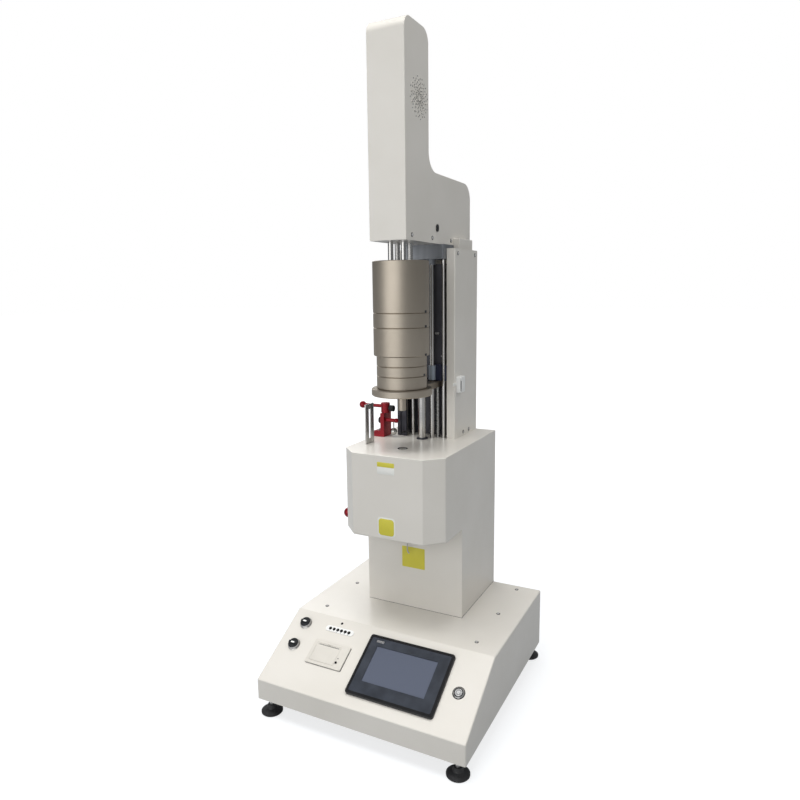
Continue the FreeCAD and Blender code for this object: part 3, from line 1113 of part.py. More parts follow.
def printer():
    """Panel printer: body with its paper bay, hinged door, feed button and paper."""
    frame = rounded_plate(PRINTER_WIDTH, PRINTER_HEIGHT, 0, PRINTER_PROUD, 2.5)
    frame = soften(frame, 0.8, lambda e: middle(e).z > PRINTER_PROUD - 0.1)
    case = box((-PRINTER_WIDTH / 2 + PRINTER_BODY_INSET, PRINTER_WIDTH / 2 - PRINTER_BODY_INSET),
               (-PRINTER_HEIGHT / 2 + PRINTER_BODY_INSET, PRINTER_HEIGHT / 2 - PRINTER_BODY_INSET),
               (-PRINTER_BODY_BACK, 0))
    left, right = door_left(), door_left() + DOOR_WIDTH
    half = DOOR_HEIGHT / 2
    opening = box((left - DOOR_GAP, right + DOOR_GAP), (-half - DOOR_GAP, half + DOOR_GAP),
                  (PRINTER_PROUD - DOOR_THICKNESS - DOOR_GAP, PRINTER_PROUD + 1))
    middle_x = (left + right) / 2
    bay_half = ROLL_WIDTH / 2 + 2
    bay = box((middle_x - bay_half, middle_x + bay_half), (-half + 5, half - 5),
              (-PRINTER_BODY_BACK + PRINTER_WALL, PRINTER_PROUD))
    well_bottom = PRINTER_PROUD - FEED_WELL
    well = rod(FEED_BUTTON_RADIUS + FREE_GAP, (FEED_BUTTON_RIGHT, -FEED_BUTTON_BELOW, well_bottom),
               (FEED_BUTTON_RIGHT, -FEED_BUTTON_BELOW, PRINTER_PROUD + 1))
    pin_y, pin_z = -half + DOOR_PIN_RADIUS, PRINTER_PROUD - DOOR_THICKNESS / 2
    ears = [rod(DOOR_PIN_RADIUS + RUNNING_GAP, (x - 1, pin_y, pin_z), (x + 1, pin_y, pin_z))
            for x in (left - 1, right + 1)]
    body = frame.fuse(case).removeSplitter().cut([opening, bay, well] + ears)
    add("printer_body", on_slope(body, PRINTER_AT))

    door = box((left, right), (-half + DOOR_PIN_RADIUS, half), (PRINTER_PROUD - DOOR_THICKNESS, PRINTER_PROUD))
    knuckle = rod(DOOR_THICKNESS / 2, (left, pin_y, pin_z), (right, pin_y, pin_z))
    pins = [rod(DOOR_PIN_RADIUS - 0.4, (left - 1.6, pin_y, pin_z), (left, pin_y, pin_z)),
            rod(DOOR_PIN_RADIUS - 0.4, (right, pin_y, pin_z), (right + 1.6, pin_y, pin_z))]
    finger = rod(5, (middle_x, half + 1.5, PRINTER_PROUD - 1), (middle_x, half + 1.5, PRINTER_PROUD + 1))
    add("printer_door", on_slope(door.fuse([knuckle] + pins).removeSplitter().cut(finger), PRINTER_AT))

    button = rod(FEED_BUTTON_RADIUS, (0, 0, well_bottom + FEED_TRAVEL + FREE_GAP),
                 (0, 0, PRINTER_PROUD + FEED_TRAVEL + 0.4))
    button = soften(button, 0.5, lambda e: middle(e).z > PRINTER_PROUD + FEED_TRAVEL)
    add("feed_button", on_slope(button, FEED_BUTTON_AT))

    roll_z = roll_level()
    roll = rod(ROLL_RADIUS, (middle_x - ROLL_WIDTH / 2, 0, roll_z), (middle_x + ROLL_WIDTH / 2, 0, roll_z))
    core = rod(6, (middle_x - ROLL_WIDTH, 0, roll_z), (middle_x + ROLL_WIDTH, 0, roll_z))
    add("paper_roll", on_slope(roll.cut(core), PRINTER_AT))


def lamps():
    """Pill-shaped lamp plate with its row of dark lenses, and the small sounder above it."""
    plate = rounded_plate(LAMP_PLATE_WIDTH, LAMP_PLATE_HEIGHT, 0, LAMP_PLATE_PROUD,
                          LAMP_PLATE_HEIGHT / 2 - 0.1)
    holes = [rod(LAMP_RADIUS, (x - LAMP_PLATE_AT[0], 0, -1), (x - LAMP_PLATE_AT[0], 0, LAMP_PLATE_PROUD + 1))
             for x, _ in lamp_places()]
    add("lamp_plate", on_slope(plate.cut(holes), LAMP_PLATE_AT))
    dome = [(0, -LENS_TAIL), (LAMP_RADIUS, -LENS_TAIL), (LAMP_RADIUS, LAMP_PLATE_PROUD)]
    for degrees in (25, 45, 65, 90):
        turn = math.radians(degrees)
        dome.append((LAMP_RADIUS * math.cos(turn), LAMP_PLATE_PROUD + LENS_RISE * math.sin(turn)))
    bead = [(0, -LENS_TAIL), (BUZZER_RADIUS, -LENS_TAIL), (BUZZER_RADIUS, 0.4), (BUZZER_RADIUS - 0.6, 1.0),
            (0, 1.0)]
    lenses = [on_slope(lathe(dome, (0, 0, 0)), place) for place in lamp_places()]
    add("lamp_lenses", on_slope(lathe(bead, (0, 0, 0)), BUZZER_AT), *lenses)


def switches():
    """Two rotary selectors and a metal push button, each in its bright collar."""
    collars, neck, shaft = [], SELECTOR_NECK_RADIUS, SELECTOR_SHAFT_RADIUS
    foot = SELECTOR_COLLAR + FREE_GAP
    top = foot + SELECTOR_HEIGHT
    for name, place in SELECTORS.items():
        collar = [
            (0, -SELECTOR_BODY_BACK), (neck - 1, -SELECTOR_BODY_BACK), (neck - 1, -BASE_WALL - 8),
            (neck, -BASE_WALL - 8), (neck, 0), (SELECTOR_COLLAR_RADIUS, 0), (SELECTOR_COLLAR_RADIUS, 1.2),
            (SELECTOR_COLLAR_RADIUS - 1.4, SELECTOR_COLLAR), (shaft + RUNNING_GAP, SELECTOR_COLLAR),
            (shaft + RUNNING_GAP, -10), (0, -10)]
        collars.append(on_slope(lathe(collar, (0, 0, 0)), place))
        knob = [(0, -9), (shaft, -9), (shaft, foot), (SELECTOR_RADIUS, foot), (SELECTOR_RADIUS, top - 1.5),
                (SELECTOR_RADIUS - 1.5, top), (0, top)]
        half, reach = SELECTOR_GRIP_WIDTH / 2, SELECTOR_RADIUS - 1.8
        grip = box((-reach, reach), (-half, half), (top - 1, top + SELECTOR_GRIP))
        grip = soften(grip, 1.2, lambda e: middle(e).z > top + 1)
        add("%s_selector_knob" % name, on_slope(lathe(knob, (0, 0, 0)).fuse(grip).removeSplitter(), place))

    way, floor = BUTTON_RADIUS + FREE_GAP, -6.0
    ring = [(0, -BUTTON_BODY_BACK), (BUTTON_NECK_RADIUS, -BUTTON_BODY_BACK), (BUTTON_NECK_RADIUS, 0),
            (BUTTON_RING_RADIUS, 0), (BUTTON_RING_RADIUS, 1.2), (BUTTON_RING_RADIUS - 1.3, BUTTON_RING_PROUD),
            (BUTTON_RADIUS + 1.2, BUTTON_RING_PROUD), (way, BUTTON_RING_PROUD - 1), (way, floor), (0, floor)]
    collars.append(on_slope(lathe(ring, (0, 0, 0)), BUTTON_AT))
    add("switch_collars", *collars)
    seat = floor + BUTTON_TRAVEL + FREE_GAP
    cap = [(0, seat), (BUTTON_RADIUS, seat), (BUTTON_RADIUS, BUTTON_PROUD - 0.8),
           (BUTTON_RADIUS - 0.8, BUTTON_PROUD), (0, BUTTON_PROUD)]
    add("push_button", on_slope(lathe(cap, (0, 0, 0)), BUTTON_AT))


def clamp():
    """Red clamp on the tower's deck: post, swing arm, lock knobs and ball lever."""
    x, y = CLAMP_X, AXIS_Y + CLAMP_BEHIND
    half, deep = CLAMP_POST_WIDTH / 2, CLAMP_POST_DEPTH / 2
    top = TOP_Z + CLAMP_POST_HEIGHT
    post = box((x - half, x + half), (y - deep, y + deep), (TOP_Z, top))
    outer = x - half - CLAMP_FOOT_REACH
    foot = box((outer, x - half), (y - deep, y + deep), (TOP_Z, TOP_Z + CLAMP_FOOT_HEIGHT))
    foot = soften(foot, 3, lambda e: abs(along(e).y) > 0.99 and middle(e).x < outer + 1
                  and middle(e).z > TOP_Z + 1)
    thumb_z, lever_z = TOP_Z + THUMB_KNOB_RISE, TOP_Z + LEVER_RISE
    pin_top = top + SWING_HUB_HEIGHT - SWING_PIN_SHORT
    pin = rod(SWING_PIN_RADIUS, (x, y, top), (x, y, pin_top))
    stub = rod(2.5, (x - half - THUMB_KNOB_LENGTH + 2, y, thumb_z), (x - half, y, thumb_z))
    post = post.fuse([foot, pin, stub]).removeSplitter()
    lever_y = y - LEVER_AHEAD
    add("clamp_post", post.cut(rod(2.5, (x, lever_y, lever_z), (x + half + 1, lever_y, lever_z))))

    hub_low = top + FREE_GAP
    hub = rod(SWING_HUB_RADIUS, (x, y, hub_low), (x, y, hub_low + SWING_HUB_HEIGHT))
    hub = soften(hub, 2, lambda e: middle(e).z > hub_low + SWING_HUB_HEIGHT - 0.1)
    arm_z = hub_low + SWING_HUB_HEIGHT * 0.62
    arm = rod(SWING_ROD_RADIUS, (x, y, arm_z), (x - SWING_ROD_LENGTH - SWING_HUB_RADIUS, y, arm_z))
    ball_x = x - SWING_HUB_RADIUS - SWING_ROD_LENGTH - SWING_BALL_RADIUS * 0.8
    knob = ball(SWING_BALL_RADIUS, (ball_x, y, arm_z), RIGHT)
    pin_hole = rod(SWING_PIN_RADIUS + RUNNING_GAP, (x, y, hub_low - 1), (x, y, pin_top + FREE_GAP))
    lock_z = hub_low + SWING_HUB_HEIGHT * LOCK_KNOB_LEVEL
    hub_side = x + SWING_HUB_RADIUS
    lock_seat = rod(2.5 + RUNNING_GAP, (hub_side - 4, y, lock_z), (hub_side + 1, y, lock_z))
    add("swing_arm", hub.fuse([arm, knob]).removeSplitter().cut([pin_hole, lock_seat]))

    start = x + SWING_HUB_RADIUS + 1
    add("lock_knob", knurled(LOCK_KNOB_RADIUS, LOCK_KNOB_LENGTH, (start, y, lock_z), 2.5, 4.5))
    start = x - half - THUMB_KNOB_LENGTH - 1.5
    knob = knurled(THUMB_KNOB_RADIUS, THUMB_KNOB_LENGTH, (start, y, thumb_z), 0, 0)
    bore = rod(2.5 + RUNNING_GAP, (start + 3.2, y, thumb_z), (x, y, thumb_z))
    add("thumb_knob", knob.cut(bore))

    hub_start = x + half + FREE_GAP
    hub_end = hub_start + LEVER_HUB_LENGTH
    lever_hub = rod(LEVER_HUB_RADIUS, (hub_start, lever_y, lever_z), (hub_end, lever_y, lever_z))
    tip = ball(LEVER_HUB_RADIUS * 1.25, (hub_end, lever_y, lever_z), RIGHT)
    journal = rod(2.5 - RUNNING_GAP, (x + 1, lever_y, lever_z), (hub_start + 1, lever_y, lever_z))
    stem_x = hub_end - 7
    stem_end = lever_z - LEVER_STEM_LENGTH
    stem = rod(LEVER_STEM_RADIUS, (stem_x, lever_y, lever_z), (stem_x, lever_y, stem_end))
    add("ball_lever", lever_hub.fuse([tip, journal]).removeSplitter().cut(stem))
    knob = ball(LEVER_BALL_RADIUS, (stem_x, lever_y, stem_end), UP)
    add("lever_ball", stem.fuse(knob).removeSplitter())


def knurled(radius, length, start, stub_radius, stub_length):
    """Round knob with a grooved rim, its face towards +X, on a stub that points to -X."""
    x, y, z = start
    body = rod(radius, (x, y, z), (x + length, y, z))
    grooves = []
    for k in range(10):
        a = 2 * math.pi * k / 10
        gy, gz = y + (radius + 0.5) * math.cos(a), z + (radius + 0.5) * math.sin(a)
        grooves.append(rod(1.3, (x + 1.5, gy, gz), (x + length + 1, gy, gz)))
    body = body.cut(grooves)
    if stub_length:
        body = body.fuse(rod(stub_radius, (x - stub_length, y, z), (x, y, z))).removeSplitter()
    return body


def gauge_bar():
    """Slotted stainless bar that stands through the tower's deck."""
    y = (AXIS_Y - BAR_AHEAD, AXIS_Y - BAR_AHEAD + BAR_DEPTH)
    x = (BAR_X - BAR_THICKNESS / 2, BAR_X + BAR_THICKNESS / 2)
    bar = box(x, y, (TOP_Z - BAR_BELOW, TOP_Z + BAR_HEIGHT))
    middle_y = (y[0] + y[1]) / 2
    slot = box((x[0] - 1, x[1] + 1), (middle_y - BAR_SLOT / 2, middle_y + BAR_SLOT / 2),
               (TOP_Z + BAR_SLOT_END, TOP_Z + BAR_HEIGHT - BAR_SLOT_END))
    add("gauge_bar", bar.cut(slot))


def screw_head(place, axis):
    """Pan head with a hexagon recess left to the finish."""
    dome = [(0, 0), (SCREW_HEAD_RADIUS, 0), (SCREW_HEAD_RADIUS, SCREW_HEAD * 0.5),
            (SCREW_HEAD_RADIUS * 0.75, SCREW_HEAD), (0, SCREW_HEAD)]
    return lathe(dome, place, axis)


def fasteners():
    """Screws that show on the deck, the column, the head and the back."""
    front, rear = FRONT_Y + SLOPE_RUN + DECK_SCREW_BEHIND, TOWER_BACK_Y - DECK_SCREW_AHEAD
    x = BASE_WIDTH / 2 - DECK_SCREW_INSET
    heads = [screw_head((side * x, y, DECK_Z), UP) for side in (-1, 1) for y in (front, (front + rear) / 2, rear)]

    x, near, far = COLUMN_WIDTH / 2, COLUMN_FRONT_Y + COLUMN_SCREW_INSET, COLUMN_BACK_Y - COLUMN_SCREW_INSET
    third, high, low = (far - near) / 3, COLUMN_TOP - COLUMN_SCREW_DROP, TOP_Z + COLUMN_SCREW_RISE
    places = ((near, high), (far, high), (near + third, low), (far - third, low))
    heads += [screw_head((side * x, y, z), RIGHT * side) for side in (-1, 1) for y, z in places]

    x, front, free = HEAD_WIDTH / 2, AXIS_Y - HEAD_FRONT, HEAD_FRONT + SADDLE_FRONT_BEHIND
    heads += [screw_head((side * x, front + share * free, HEAD_BOTTOM + HEAD_SCREW_RISE), RIGHT * side)
              for side in (-1, 1) for share in HEAD_SCREW_SHARES]

    x = TOWER_WIDTH / 2 - HOUSING_WALL - REAR_SCREW_INSET
    rows = (DECK_Z + 14, (DECK_Z + PLATE_BOTTOM) / 2, PLATE_BOTTOM - 14)
    heads += [screw_head((side * x, TOWER_BACK_Y, z), BACK) for side in (-1, 1) for z in rows]
    add("screws", *heads)


def build():
    for make in (base, electrics, tower, furnace, die_release, cutter, column, head_chassis, catch,
                 table, weights, hangers, head, head_drive, lift_drive, touch_panel, printer, lamps,
                 switches, clamp, gauge_bar, fasteners):
        make()


build()
os.makedirs("parts", exist_ok=True)
for name, shape in nodes.items():
    shape.exportStep(os.path.join("parts", name + ".step"))
print(len(nodes), "nodes")
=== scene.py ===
"""Looks of a melt flow index tester: finishes, fine hardware, studio and camera.

Metres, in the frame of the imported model: +Z up, the operator stands at -Y. Places on the
sloping control panel are given as x, distance up the slope, and height over its face.
"""
import json
import math

import bmesh
import bpy
from mathutils import Matrix, Vector


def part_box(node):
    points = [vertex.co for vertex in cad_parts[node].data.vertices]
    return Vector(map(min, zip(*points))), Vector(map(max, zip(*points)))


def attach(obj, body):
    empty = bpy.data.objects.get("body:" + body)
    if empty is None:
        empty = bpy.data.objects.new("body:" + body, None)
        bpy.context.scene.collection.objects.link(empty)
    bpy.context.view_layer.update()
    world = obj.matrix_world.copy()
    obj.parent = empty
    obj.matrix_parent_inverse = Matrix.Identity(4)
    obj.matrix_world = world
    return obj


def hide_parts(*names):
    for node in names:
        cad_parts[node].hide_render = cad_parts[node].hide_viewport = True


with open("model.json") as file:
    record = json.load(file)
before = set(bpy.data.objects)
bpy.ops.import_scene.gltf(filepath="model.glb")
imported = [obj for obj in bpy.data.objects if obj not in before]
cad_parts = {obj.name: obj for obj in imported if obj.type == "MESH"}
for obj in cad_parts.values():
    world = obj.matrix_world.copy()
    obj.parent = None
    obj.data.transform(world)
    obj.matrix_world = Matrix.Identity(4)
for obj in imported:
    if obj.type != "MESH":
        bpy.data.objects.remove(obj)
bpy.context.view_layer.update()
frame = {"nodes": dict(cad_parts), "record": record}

# Places shared by the pieces below, in metres
AXIS_Y = -0.02755                        # axis of the barrel, the weights and their table
FRONT_Y = -0.26695                       # lower edge of the sloping panel
LIP_Z = 0.0834
PANEL_ANGLE = math.atan2(0.095, 0.166)
DECK_Z = 0.1784                          # top of the base
BACK_PANEL_Y = 0.24805
HOUSING_FRONT_Y = -0.10755               # front of the furnace housing
COLUMN_SIDE_X = 0.073
INNER_PANEL_Y = 0.13805
GUIDE_ROD_X = 0.016
GUIDE_ROD_Y = AXIS_Y + 0.126
HEAD_SIDE_X = 0.043

SMOOTH_ANGLE = math.radians(32)          # flatter edges than this are shaded smooth


# ---------------------------------------------------------------- finishes

class Finish:
    """A procedural surface that reads Object coordinates."""

    def __init__(self, name, colour, roughness, metallic=0.0, coat=0.0, centre=(0, 0, 0)):
        self.material = bpy.data.materials.new(name)
        self.material.use_nodes = True
        self.nodes = self.material.node_tree.nodes
        self.links = self.material.node_tree.links
        self.surface = self.nodes["Principled BSDF"]
        self.surface.inputs["Base Color"].default_value = (*colour, 1)
        self.surface.inputs["Roughness"].default_value = roughness
        self.surface.inputs["Metallic"].default_value = metallic
        self.surface.inputs["Coat Weight"].default_value = coat
        self.material.diffuse_color = (*colour, 1)
        self.coordinates = self.nodes.new("ShaderNodeTexCoord")
        self.place = self.nodes.new("ShaderNodeMapping")
        self.place.inputs["Location"].default_value = [-c for c in centre]
        self.links.new(self.coordinates.outputs["Object"], self.place.inputs["Vector"])
        self.bumped = None

    def stretched(self, scale):
        """Object coordinates drawn out along the axes with the smaller scales."""
        node = self.nodes.new("ShaderNodeVectorMath")
        node.operation = "MULTIPLY"
        node.inputs[1].default_value = scale
        self.links.new(self.place.outputs["Vector"], node.inputs[0])
        return node.outputs[0]

    def turned(self, fineness):
        """Coordinates for lathe marks: rings on the sides and circles on the faces."""
        split = self.nodes.new("ShaderNodeSeparateXYZ")
        self.links.new(self.place.outputs["Vector"], split.inputs[0])
        across = self.nodes.new("ShaderNodeCombineXYZ")
        self.links.new(split.outputs["X"], across.inputs["X"])
        self.links.new(split.outputs["Y"], across.inputs["Y"])
        length = self.nodes.new("ShaderNodeVectorMath")
        length.operation = "LENGTH"
        self.links.new(across.outputs[0], length.inputs[0])
        joined = self.nodes.new("ShaderNodeCombineXYZ")
        self.links.new(length.outputs["Value"], joined.inputs["X"])
        self.links.new(split.outputs["Z"], joined.inputs["Y"])
        scaled = self.nodes.new("ShaderNodeVectorMath")
        scaled.operation = "SCALE"
        scaled.inputs["Scale"].default_value = fineness
        self.links.new(joined.outputs[0], scaled.inputs[0])
        return scaled.outputs[0]

    def noise(self, scale, vector=None, detail=2.0):
        node = self.nodes.new("ShaderNodeTexNoise")
        node.inputs["Scale"].default_value = scale
        node.inputs["Detail"].default_value = detail
        self.links.new(vector or self.place.outputs["Vector"], node.inputs["Vector"])
        return node.outputs["Fac"]

    def cells(self, scale):
        node = self.nodes.new("ShaderNodeTexVoronoi")
        node.inputs["Scale"].default_value = scale
        self.links.new(self.place.outputs["Vector"], node.inputs["Vector"])
        return node.outputs["Distance"]

    def bands(self, scale, direction):
        node = self.nodes.new("ShaderNodeTexWave")
        node.bands_direction = direction
        node.inputs["Scale"].default_value = scale
        self.links.new(self.place.outputs["Vector"], node.inputs["Vector"])
        return node.outputs["Fac"]

    def colour(self, factor, low, high, start=0.3, end=0.7):
        """Base colour from one shade to another as the factor goes from start to end."""
        ramp = self.nodes.new("ShaderNodeValToRGB")
        ramp.color_ramp.elements[0].position = start
        ramp.color_ramp.elements[0].color = (*low, 1)
        ramp.color_ramp.elements[1].position = end
        ramp.color_ramp.elements[1].color = (*high, 1)
        self.links.new(factor, ramp.inputs["Fac"])
        self.links.new(ramp.outputs["Color"], self.surface.inputs["Base Color"])

    def gloss(self, factor, low, high):
        """Roughness between two values, by the factor."""
        span = self.nodes.new("ShaderNodeMapRange")
        span.inputs["From Min"].default_value = 0.3
        span.inputs["From Max"].default_value = 0.7
        span.inputs["To Min"].default_value = low
        span.inputs["To Max"].default_value = high
        self.links.new(factor, span.inputs["Value"])
        self.links.new(span.outputs["Result"], self.surface.inputs["Roughness"])

    def relief(self, height, strength, distance):
        """Bump from the height; a second relief lies on the first."""
        bump = self.nodes.new("ShaderNodeBump")
        bump.inputs["Strength"].default_value = strength
        bump.inputs["Distance"].default_value = distance
        self.links.new(height, bump.inputs["Height"])
        if self.bumped:
            self.links.new(self.bumped, bump.inputs["Normal"])
        self.links.new(bump.outputs["Normal"], self.surface.inputs["Normal"])
        self.bumped = bump.outputs["Normal"]

    def brushed_round(self, amount):
        """Highlights drawn out along Z, as on a turned surface."""
        tangent = self.nodes.new("ShaderNodeTangent")
        tangent.direction_type = "RADIAL"
        tangent.axis = "Z"
        self.surface.inputs["Anisotropic"].default_value = amount
        self.links.new(tangent.outputs["Tangent"], self.surface.inputs["Tangent"])


def shade(colour, by):
    return tuple(part * by for part in colour)


def painted_sheet():
    paint = Finish("ivory_powder_coat", (0.72, 0.69, 0.63), 0.34, coat=0.28)
    paint.surface.inputs["Coat Roughness"].default_value = 0.14
    paint.colour(paint.noise(7.0, detail=3.0), (0.70, 0.67, 0.61), (0.74, 0.71, 0.655))
    paint.gloss(paint.noise(40.0), 0.30, 0.38)
    paint.relief(paint.noise(1400.0, detail=1.0), 0.10, 0.0002)
    return paint.material


def zinc_pan():
    zinc = Finish("zinc_plated_sheet", (0.45, 0.45, 0.46), 0.38, 1.0)
    spangle = zinc.cells(90.0)
    zinc.colour(spangle, (0.36, 0.37, 0.39), (0.56, 0.56, 0.57), 0.1, 0.9)
    zinc.gloss(zinc.noise(60.0), 0.30, 0.48)
    return zinc.material


def foot_rubber():
    rubber = Finish("foot_rubber", (0.018, 0.018, 0.019), 0.55)
    rubber.colour(rubber.noise(70.0), (0.013, 0.013, 0.014), (0.028, 0.028, 0.029))
    rubber.relief(rubber.noise(900.0), 0.25, 0.0003)
    return rubber.material


def zinc_steel():
    steel = Finish("bright_zinc_steel", (0.55, 0.55, 0.54), 0.30, 1.0)
    steel.colour(steel.noise(160.0), (0.48, 0.48, 0.47), (0.63, 0.63, 0.62))
    steel.gloss(steel.noise(300.0), 0.24, 0.40)
    return steel.material


def bright_steel(name="bright_steel", colour=(0.80, 0.80, 0.79)):
    """Polished steel under a thin haze, which shows pale from any side."""
    steel = Finish(name, colour, 0.24, 0.55)
    steel.colour(steel.noise(220.0), shade(colour, 0.92), shade(colour, 1.06))
    steel.gloss(steel.noise(600.0), 0.18, 0.32)
    return steel.material


def circuit_parts():
    board = Finish("circuit_parts", (0.02, 0.16, 0.07), 0.45)
    board.colour(board.bands(300.0, "X"), (0.012, 0.11, 0.05), (0.03, 0.20, 0.09))
    board.relief(board.cells(500.0), 0.3, 0.0003)
    return board.material


def moulded_black(name="moulded_black", colour=(0.022, 0.023, 0.025), roughness=0.42):
    plastic = Finish(name, colour, roughness)
    plastic.surface.inputs["Specular IOR Level"].default_value = 0.3
    plastic.colour(plastic.noise(35.0), shade(colour, 0.8), shade(colour, 1.25))
    plastic.relief(plastic.noise(2200.0, detail=1.0), 0.18, 0.0001)
    return plastic.material


def ground_steel():
    steel = Finish("hardened_ground_steel", (0.42, 0.42, 0.41), 0.33, 1.0, centre=(0, AXIS_Y, 0))
    marks = steel.noise(1.0, steel.turned(1600.0))
    steel.colour(marks, (0.34, 0.34, 0.335), (0.50, 0.50, 0.49))
    steel.relief(marks, 0.15, 0.0001)
    return steel.material


def furnace_jacket():
    jacket = Finish("furnace_jacket", (0.40, 0.38, 0.35), 0.5, 0.8)
    jacket.colour(jacket.noise(25.0, detail=4.0), (0.30, 0.27, 0.23), (0.48, 0.46, 0.44))
    jacket.relief(jacket.noise(300.0), 0.2, 0.0005)
    return jacket.material


def red_anodised():
    red = Finish("red_anodised", (0.27, 0.007, 0.016), 0.28, 0.5)
    red.colour(red.noise(120.0), (0.24, 0.006, 0.013), (0.31, 0.009, 0.019))
    red.gloss(red.noise(700.0), 0.24, 0.36)
    return red.material


def cast_motor():
    case = Finish("motor_case", (0.10, 0.10, 0.11), 0.5, 0.6)
    case.relief(case.bands(160.0, "Z"), 0.35, 0.0005)
    case.colour(case.noise(90.0), (0.08, 0.08, 0.085), (0.13, 0.13, 0.135))
    return case.material


def anodised(name, colour, roughness=0.36, metallic=0.6):
    layer = Finish(name, colour, roughness, metallic)
    streaks = layer.noise(60.0, layer.stretched((1.0, 1.0, 0.06)), 3.0)
    layer.colour(streaks, shade(colour, 0.86), shade(colour, 1.14))
    layer.gloss(layer.noise(500.0), roughness - 0.05, roughness + 0.07)
    return layer.material


def chrome():
    plating = Finish("hard_chrome", (0.52, 0.51, 0.49), 0.16, 1.0)
    plating.colour(plating.noise(30.0), (0.49, 0.48, 0.465), (0.55, 0.54, 0.52))
    plating.gloss(plating.noise(60.0), 0.13, 0.19)
    return plating.material


def stainless():
    steel = Finish("brushed_stainless", (0.50, 0.49, 0.47), 0.28, 1.0)
    grain = steel.noise(40.0, steel.stretched((40.0, 40.0, 0.8)), 3.0)
    steel.colour(grain, (0.50, 0.49, 0.475), (0.68, 0.67, 0.65))
    steel.gloss(grain, 0.22, 0.36)
    steel.relief(grain, 0.12, 0.0001)
    return steel.material


def weight_nickel():
    nickel = Finish("turned_nickel", (0.47, 0.42, 0.35), 0.34, 1.0, centre=(0, AXIS_Y, 0))
    marks = nickel.noise(1.0, nickel.turned(2600.0), 1.0)
    cloud = nickel.noise(14.0, nickel.stretched((1.0, 1.0, 0.5)), 4.0)
    nickel.colour(cloud, (0.38, 0.335, 0.275), (0.44, 0.39, 0.325))
    nickel.gloss(marks, 0.37, 0.47)
    nickel.relief(marks, 0.10, 0.0001)
    nickel.brushed_round(0.45)
    return nickel.material


def screen_glass():
    glass = Finish("screen_glass", (0.108, 0.122, 0.165), 0.3)
    glass.surface.inputs["Specular IOR Level"].default_value = 0.12
    glass.colour(glass.noise(3.0), (0.100, 0.113, 0.152), (0.102, 0.116, 0.156))
    glass.gloss(glass.noise(3.0), 0.29, 0.31)
    return glass.material


def moulded_pale(name, colour, roughness=0.45):
    plastic = Finish(name, colour, roughness)
    plastic.colour(plastic.noise(30.0), shade(colour, 0.97), shade(colour, 1.03))
    plastic.relief(plastic.noise(2600.0, detail=1.0), 0.15, 0.0001)
    return plastic.material


def dark_lens():
    lens = Finish("dark_lens", (0.006, 0.006, 0.007), 0.3)
    lens.surface.inputs["Specular IOR Level"].default_value = 0.25
    lens.colour(lens.noise(300.0), (0.004, 0.004, 0.005), (0.012, 0.010, 0.010))
    return lens.material


def thermal_paper():
    paper = Finish("thermal_paper", (0.80, 0.80, 0.79), 0.75)
    paper.relief(paper.bands(700.0, "Y"), 0.2, 0.0002)
    paper.colour(paper.noise(200.0), (0.77, 0.77, 0.76), (0.82, 0.82, 0.81))
    return paper.material


FINISHES = {
    "light_paint": painted_sheet(),
    "bare_pan": zinc_pan(),
    "foot_black": foot_rubber(),
    "plated_steel": zinc_steel(),
    "electronics": circuit_parts(),
    "black_plastic": moulded_black(),
    "hard_steel": ground_steel(),
    "furnace_jacket": furnace_jacket(),
    "red_anodised": red_anodised(),
    "motor_case": cast_motor(),
    "black_anodised": anodised("black_anodised", (0.042, 0.042, 0.054), 0.34, 0.3),
    "grey_anodised": anodised("grey_anodised", (0.21, 0.222, 0.24), 0.42, 0.6),
    "navy_anodised": anodised("navy_anodised", (0.05, 0.056, 0.10), 0.32, 0.4),
    "chrome_rod": chrome(),
    "screw_steel": zinc_steel(),
    "stainless": stainless(),
    "weight_nickel": weight_nickel(),
    "panel_glass": screen_glass(),
    "cream_plastic": moulded_pale("cream_plastic", (0.66, 0.63, 0.57)),
    "white_plastic": moulded_pale("white_plastic", (0.82, 0.82, 0.80), 0.35),
    "dark_lens": dark_lens(),
    "paper": thermal_paper(),
    "gloss_black": moulded_black("gloss_black", (0.012, 0.012, 0.013), 0.2),
    "panel_inlay": moulded_black("panel_inlay", (0.034, 0.039, 0.050), 0.38),
    "sleeve_grey": anodised("sleeve_grey", (0.30, 0.34, 0.385), 0.4, 0.5),
    "button_steel": bright_steel(),
    "screw_bright": bright_steel("screw_bright", (0.66, 0.66, 0.65)),
    "silver_plate": anodised("silver_plate", (0.55, 0.55, 0.56), 0.3, 0.9),
    # dark grey for plain marks, and for painted shade in the paper slot, round the printer and on the
    # vent
    "grey_print_and_painted_shade": moulded_black("grey_print_and_painted_shade", (0.09, 0.09, 0.095), 0.5),
    "yellow_film": moulded_pale("yellow_film", (0.62, 0.56, 0.05), 0.35),
    "white_film": moulded_pale("white_film", (0.78, 0.78, 0.74), 0.35),
}


def dress_cad_nodes():
    """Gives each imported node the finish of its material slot."""
    for entry in frame["record"]["subparts"]:
        mesh = frame["nodes"][entry["node"]].data
        mesh.materials.clear()
        finish = "button_steel" if entry["node"] == "push_button" else entry["material_slot"]
        mesh.materials.append(FINISHES[finish])


dress_cad_nodes()


# ---------------------------------------------------------------- shaping

def begin(name, add, **settings):
    """Adds a primitive with nothing else selected, and names it."""
    bpy.ops.object.select_all(action="DESELECT")
    add(**settings)
    piece = bpy.context.object
    piece.name = piece.data.name = name
    return piece


def only(piece):
    bpy.ops.object.select_all(action="DESELECT")
    piece.select_set(True)
    bpy.context.view_layer.objects.active = piece


def choose_edges(piece, test):
    """In edit mode, selects the edges whose middle and direction pass the test."""
    bpy.ops.mesh.select_mode(type="EDGE")
    bpy.ops.mesh.select_all(action="DESELECT")
    mesh = bmesh.from_edit_mesh(piece.data)
    for edge in mesh.edges:
        start, end = (vertex.co for vertex in edge.verts)
        edge.select_set(bool(test((start + end) / 2, (end - start).normalized())))
    mesh.select_flush_mode()
    bmesh.update_edit_mesh(piece.data)


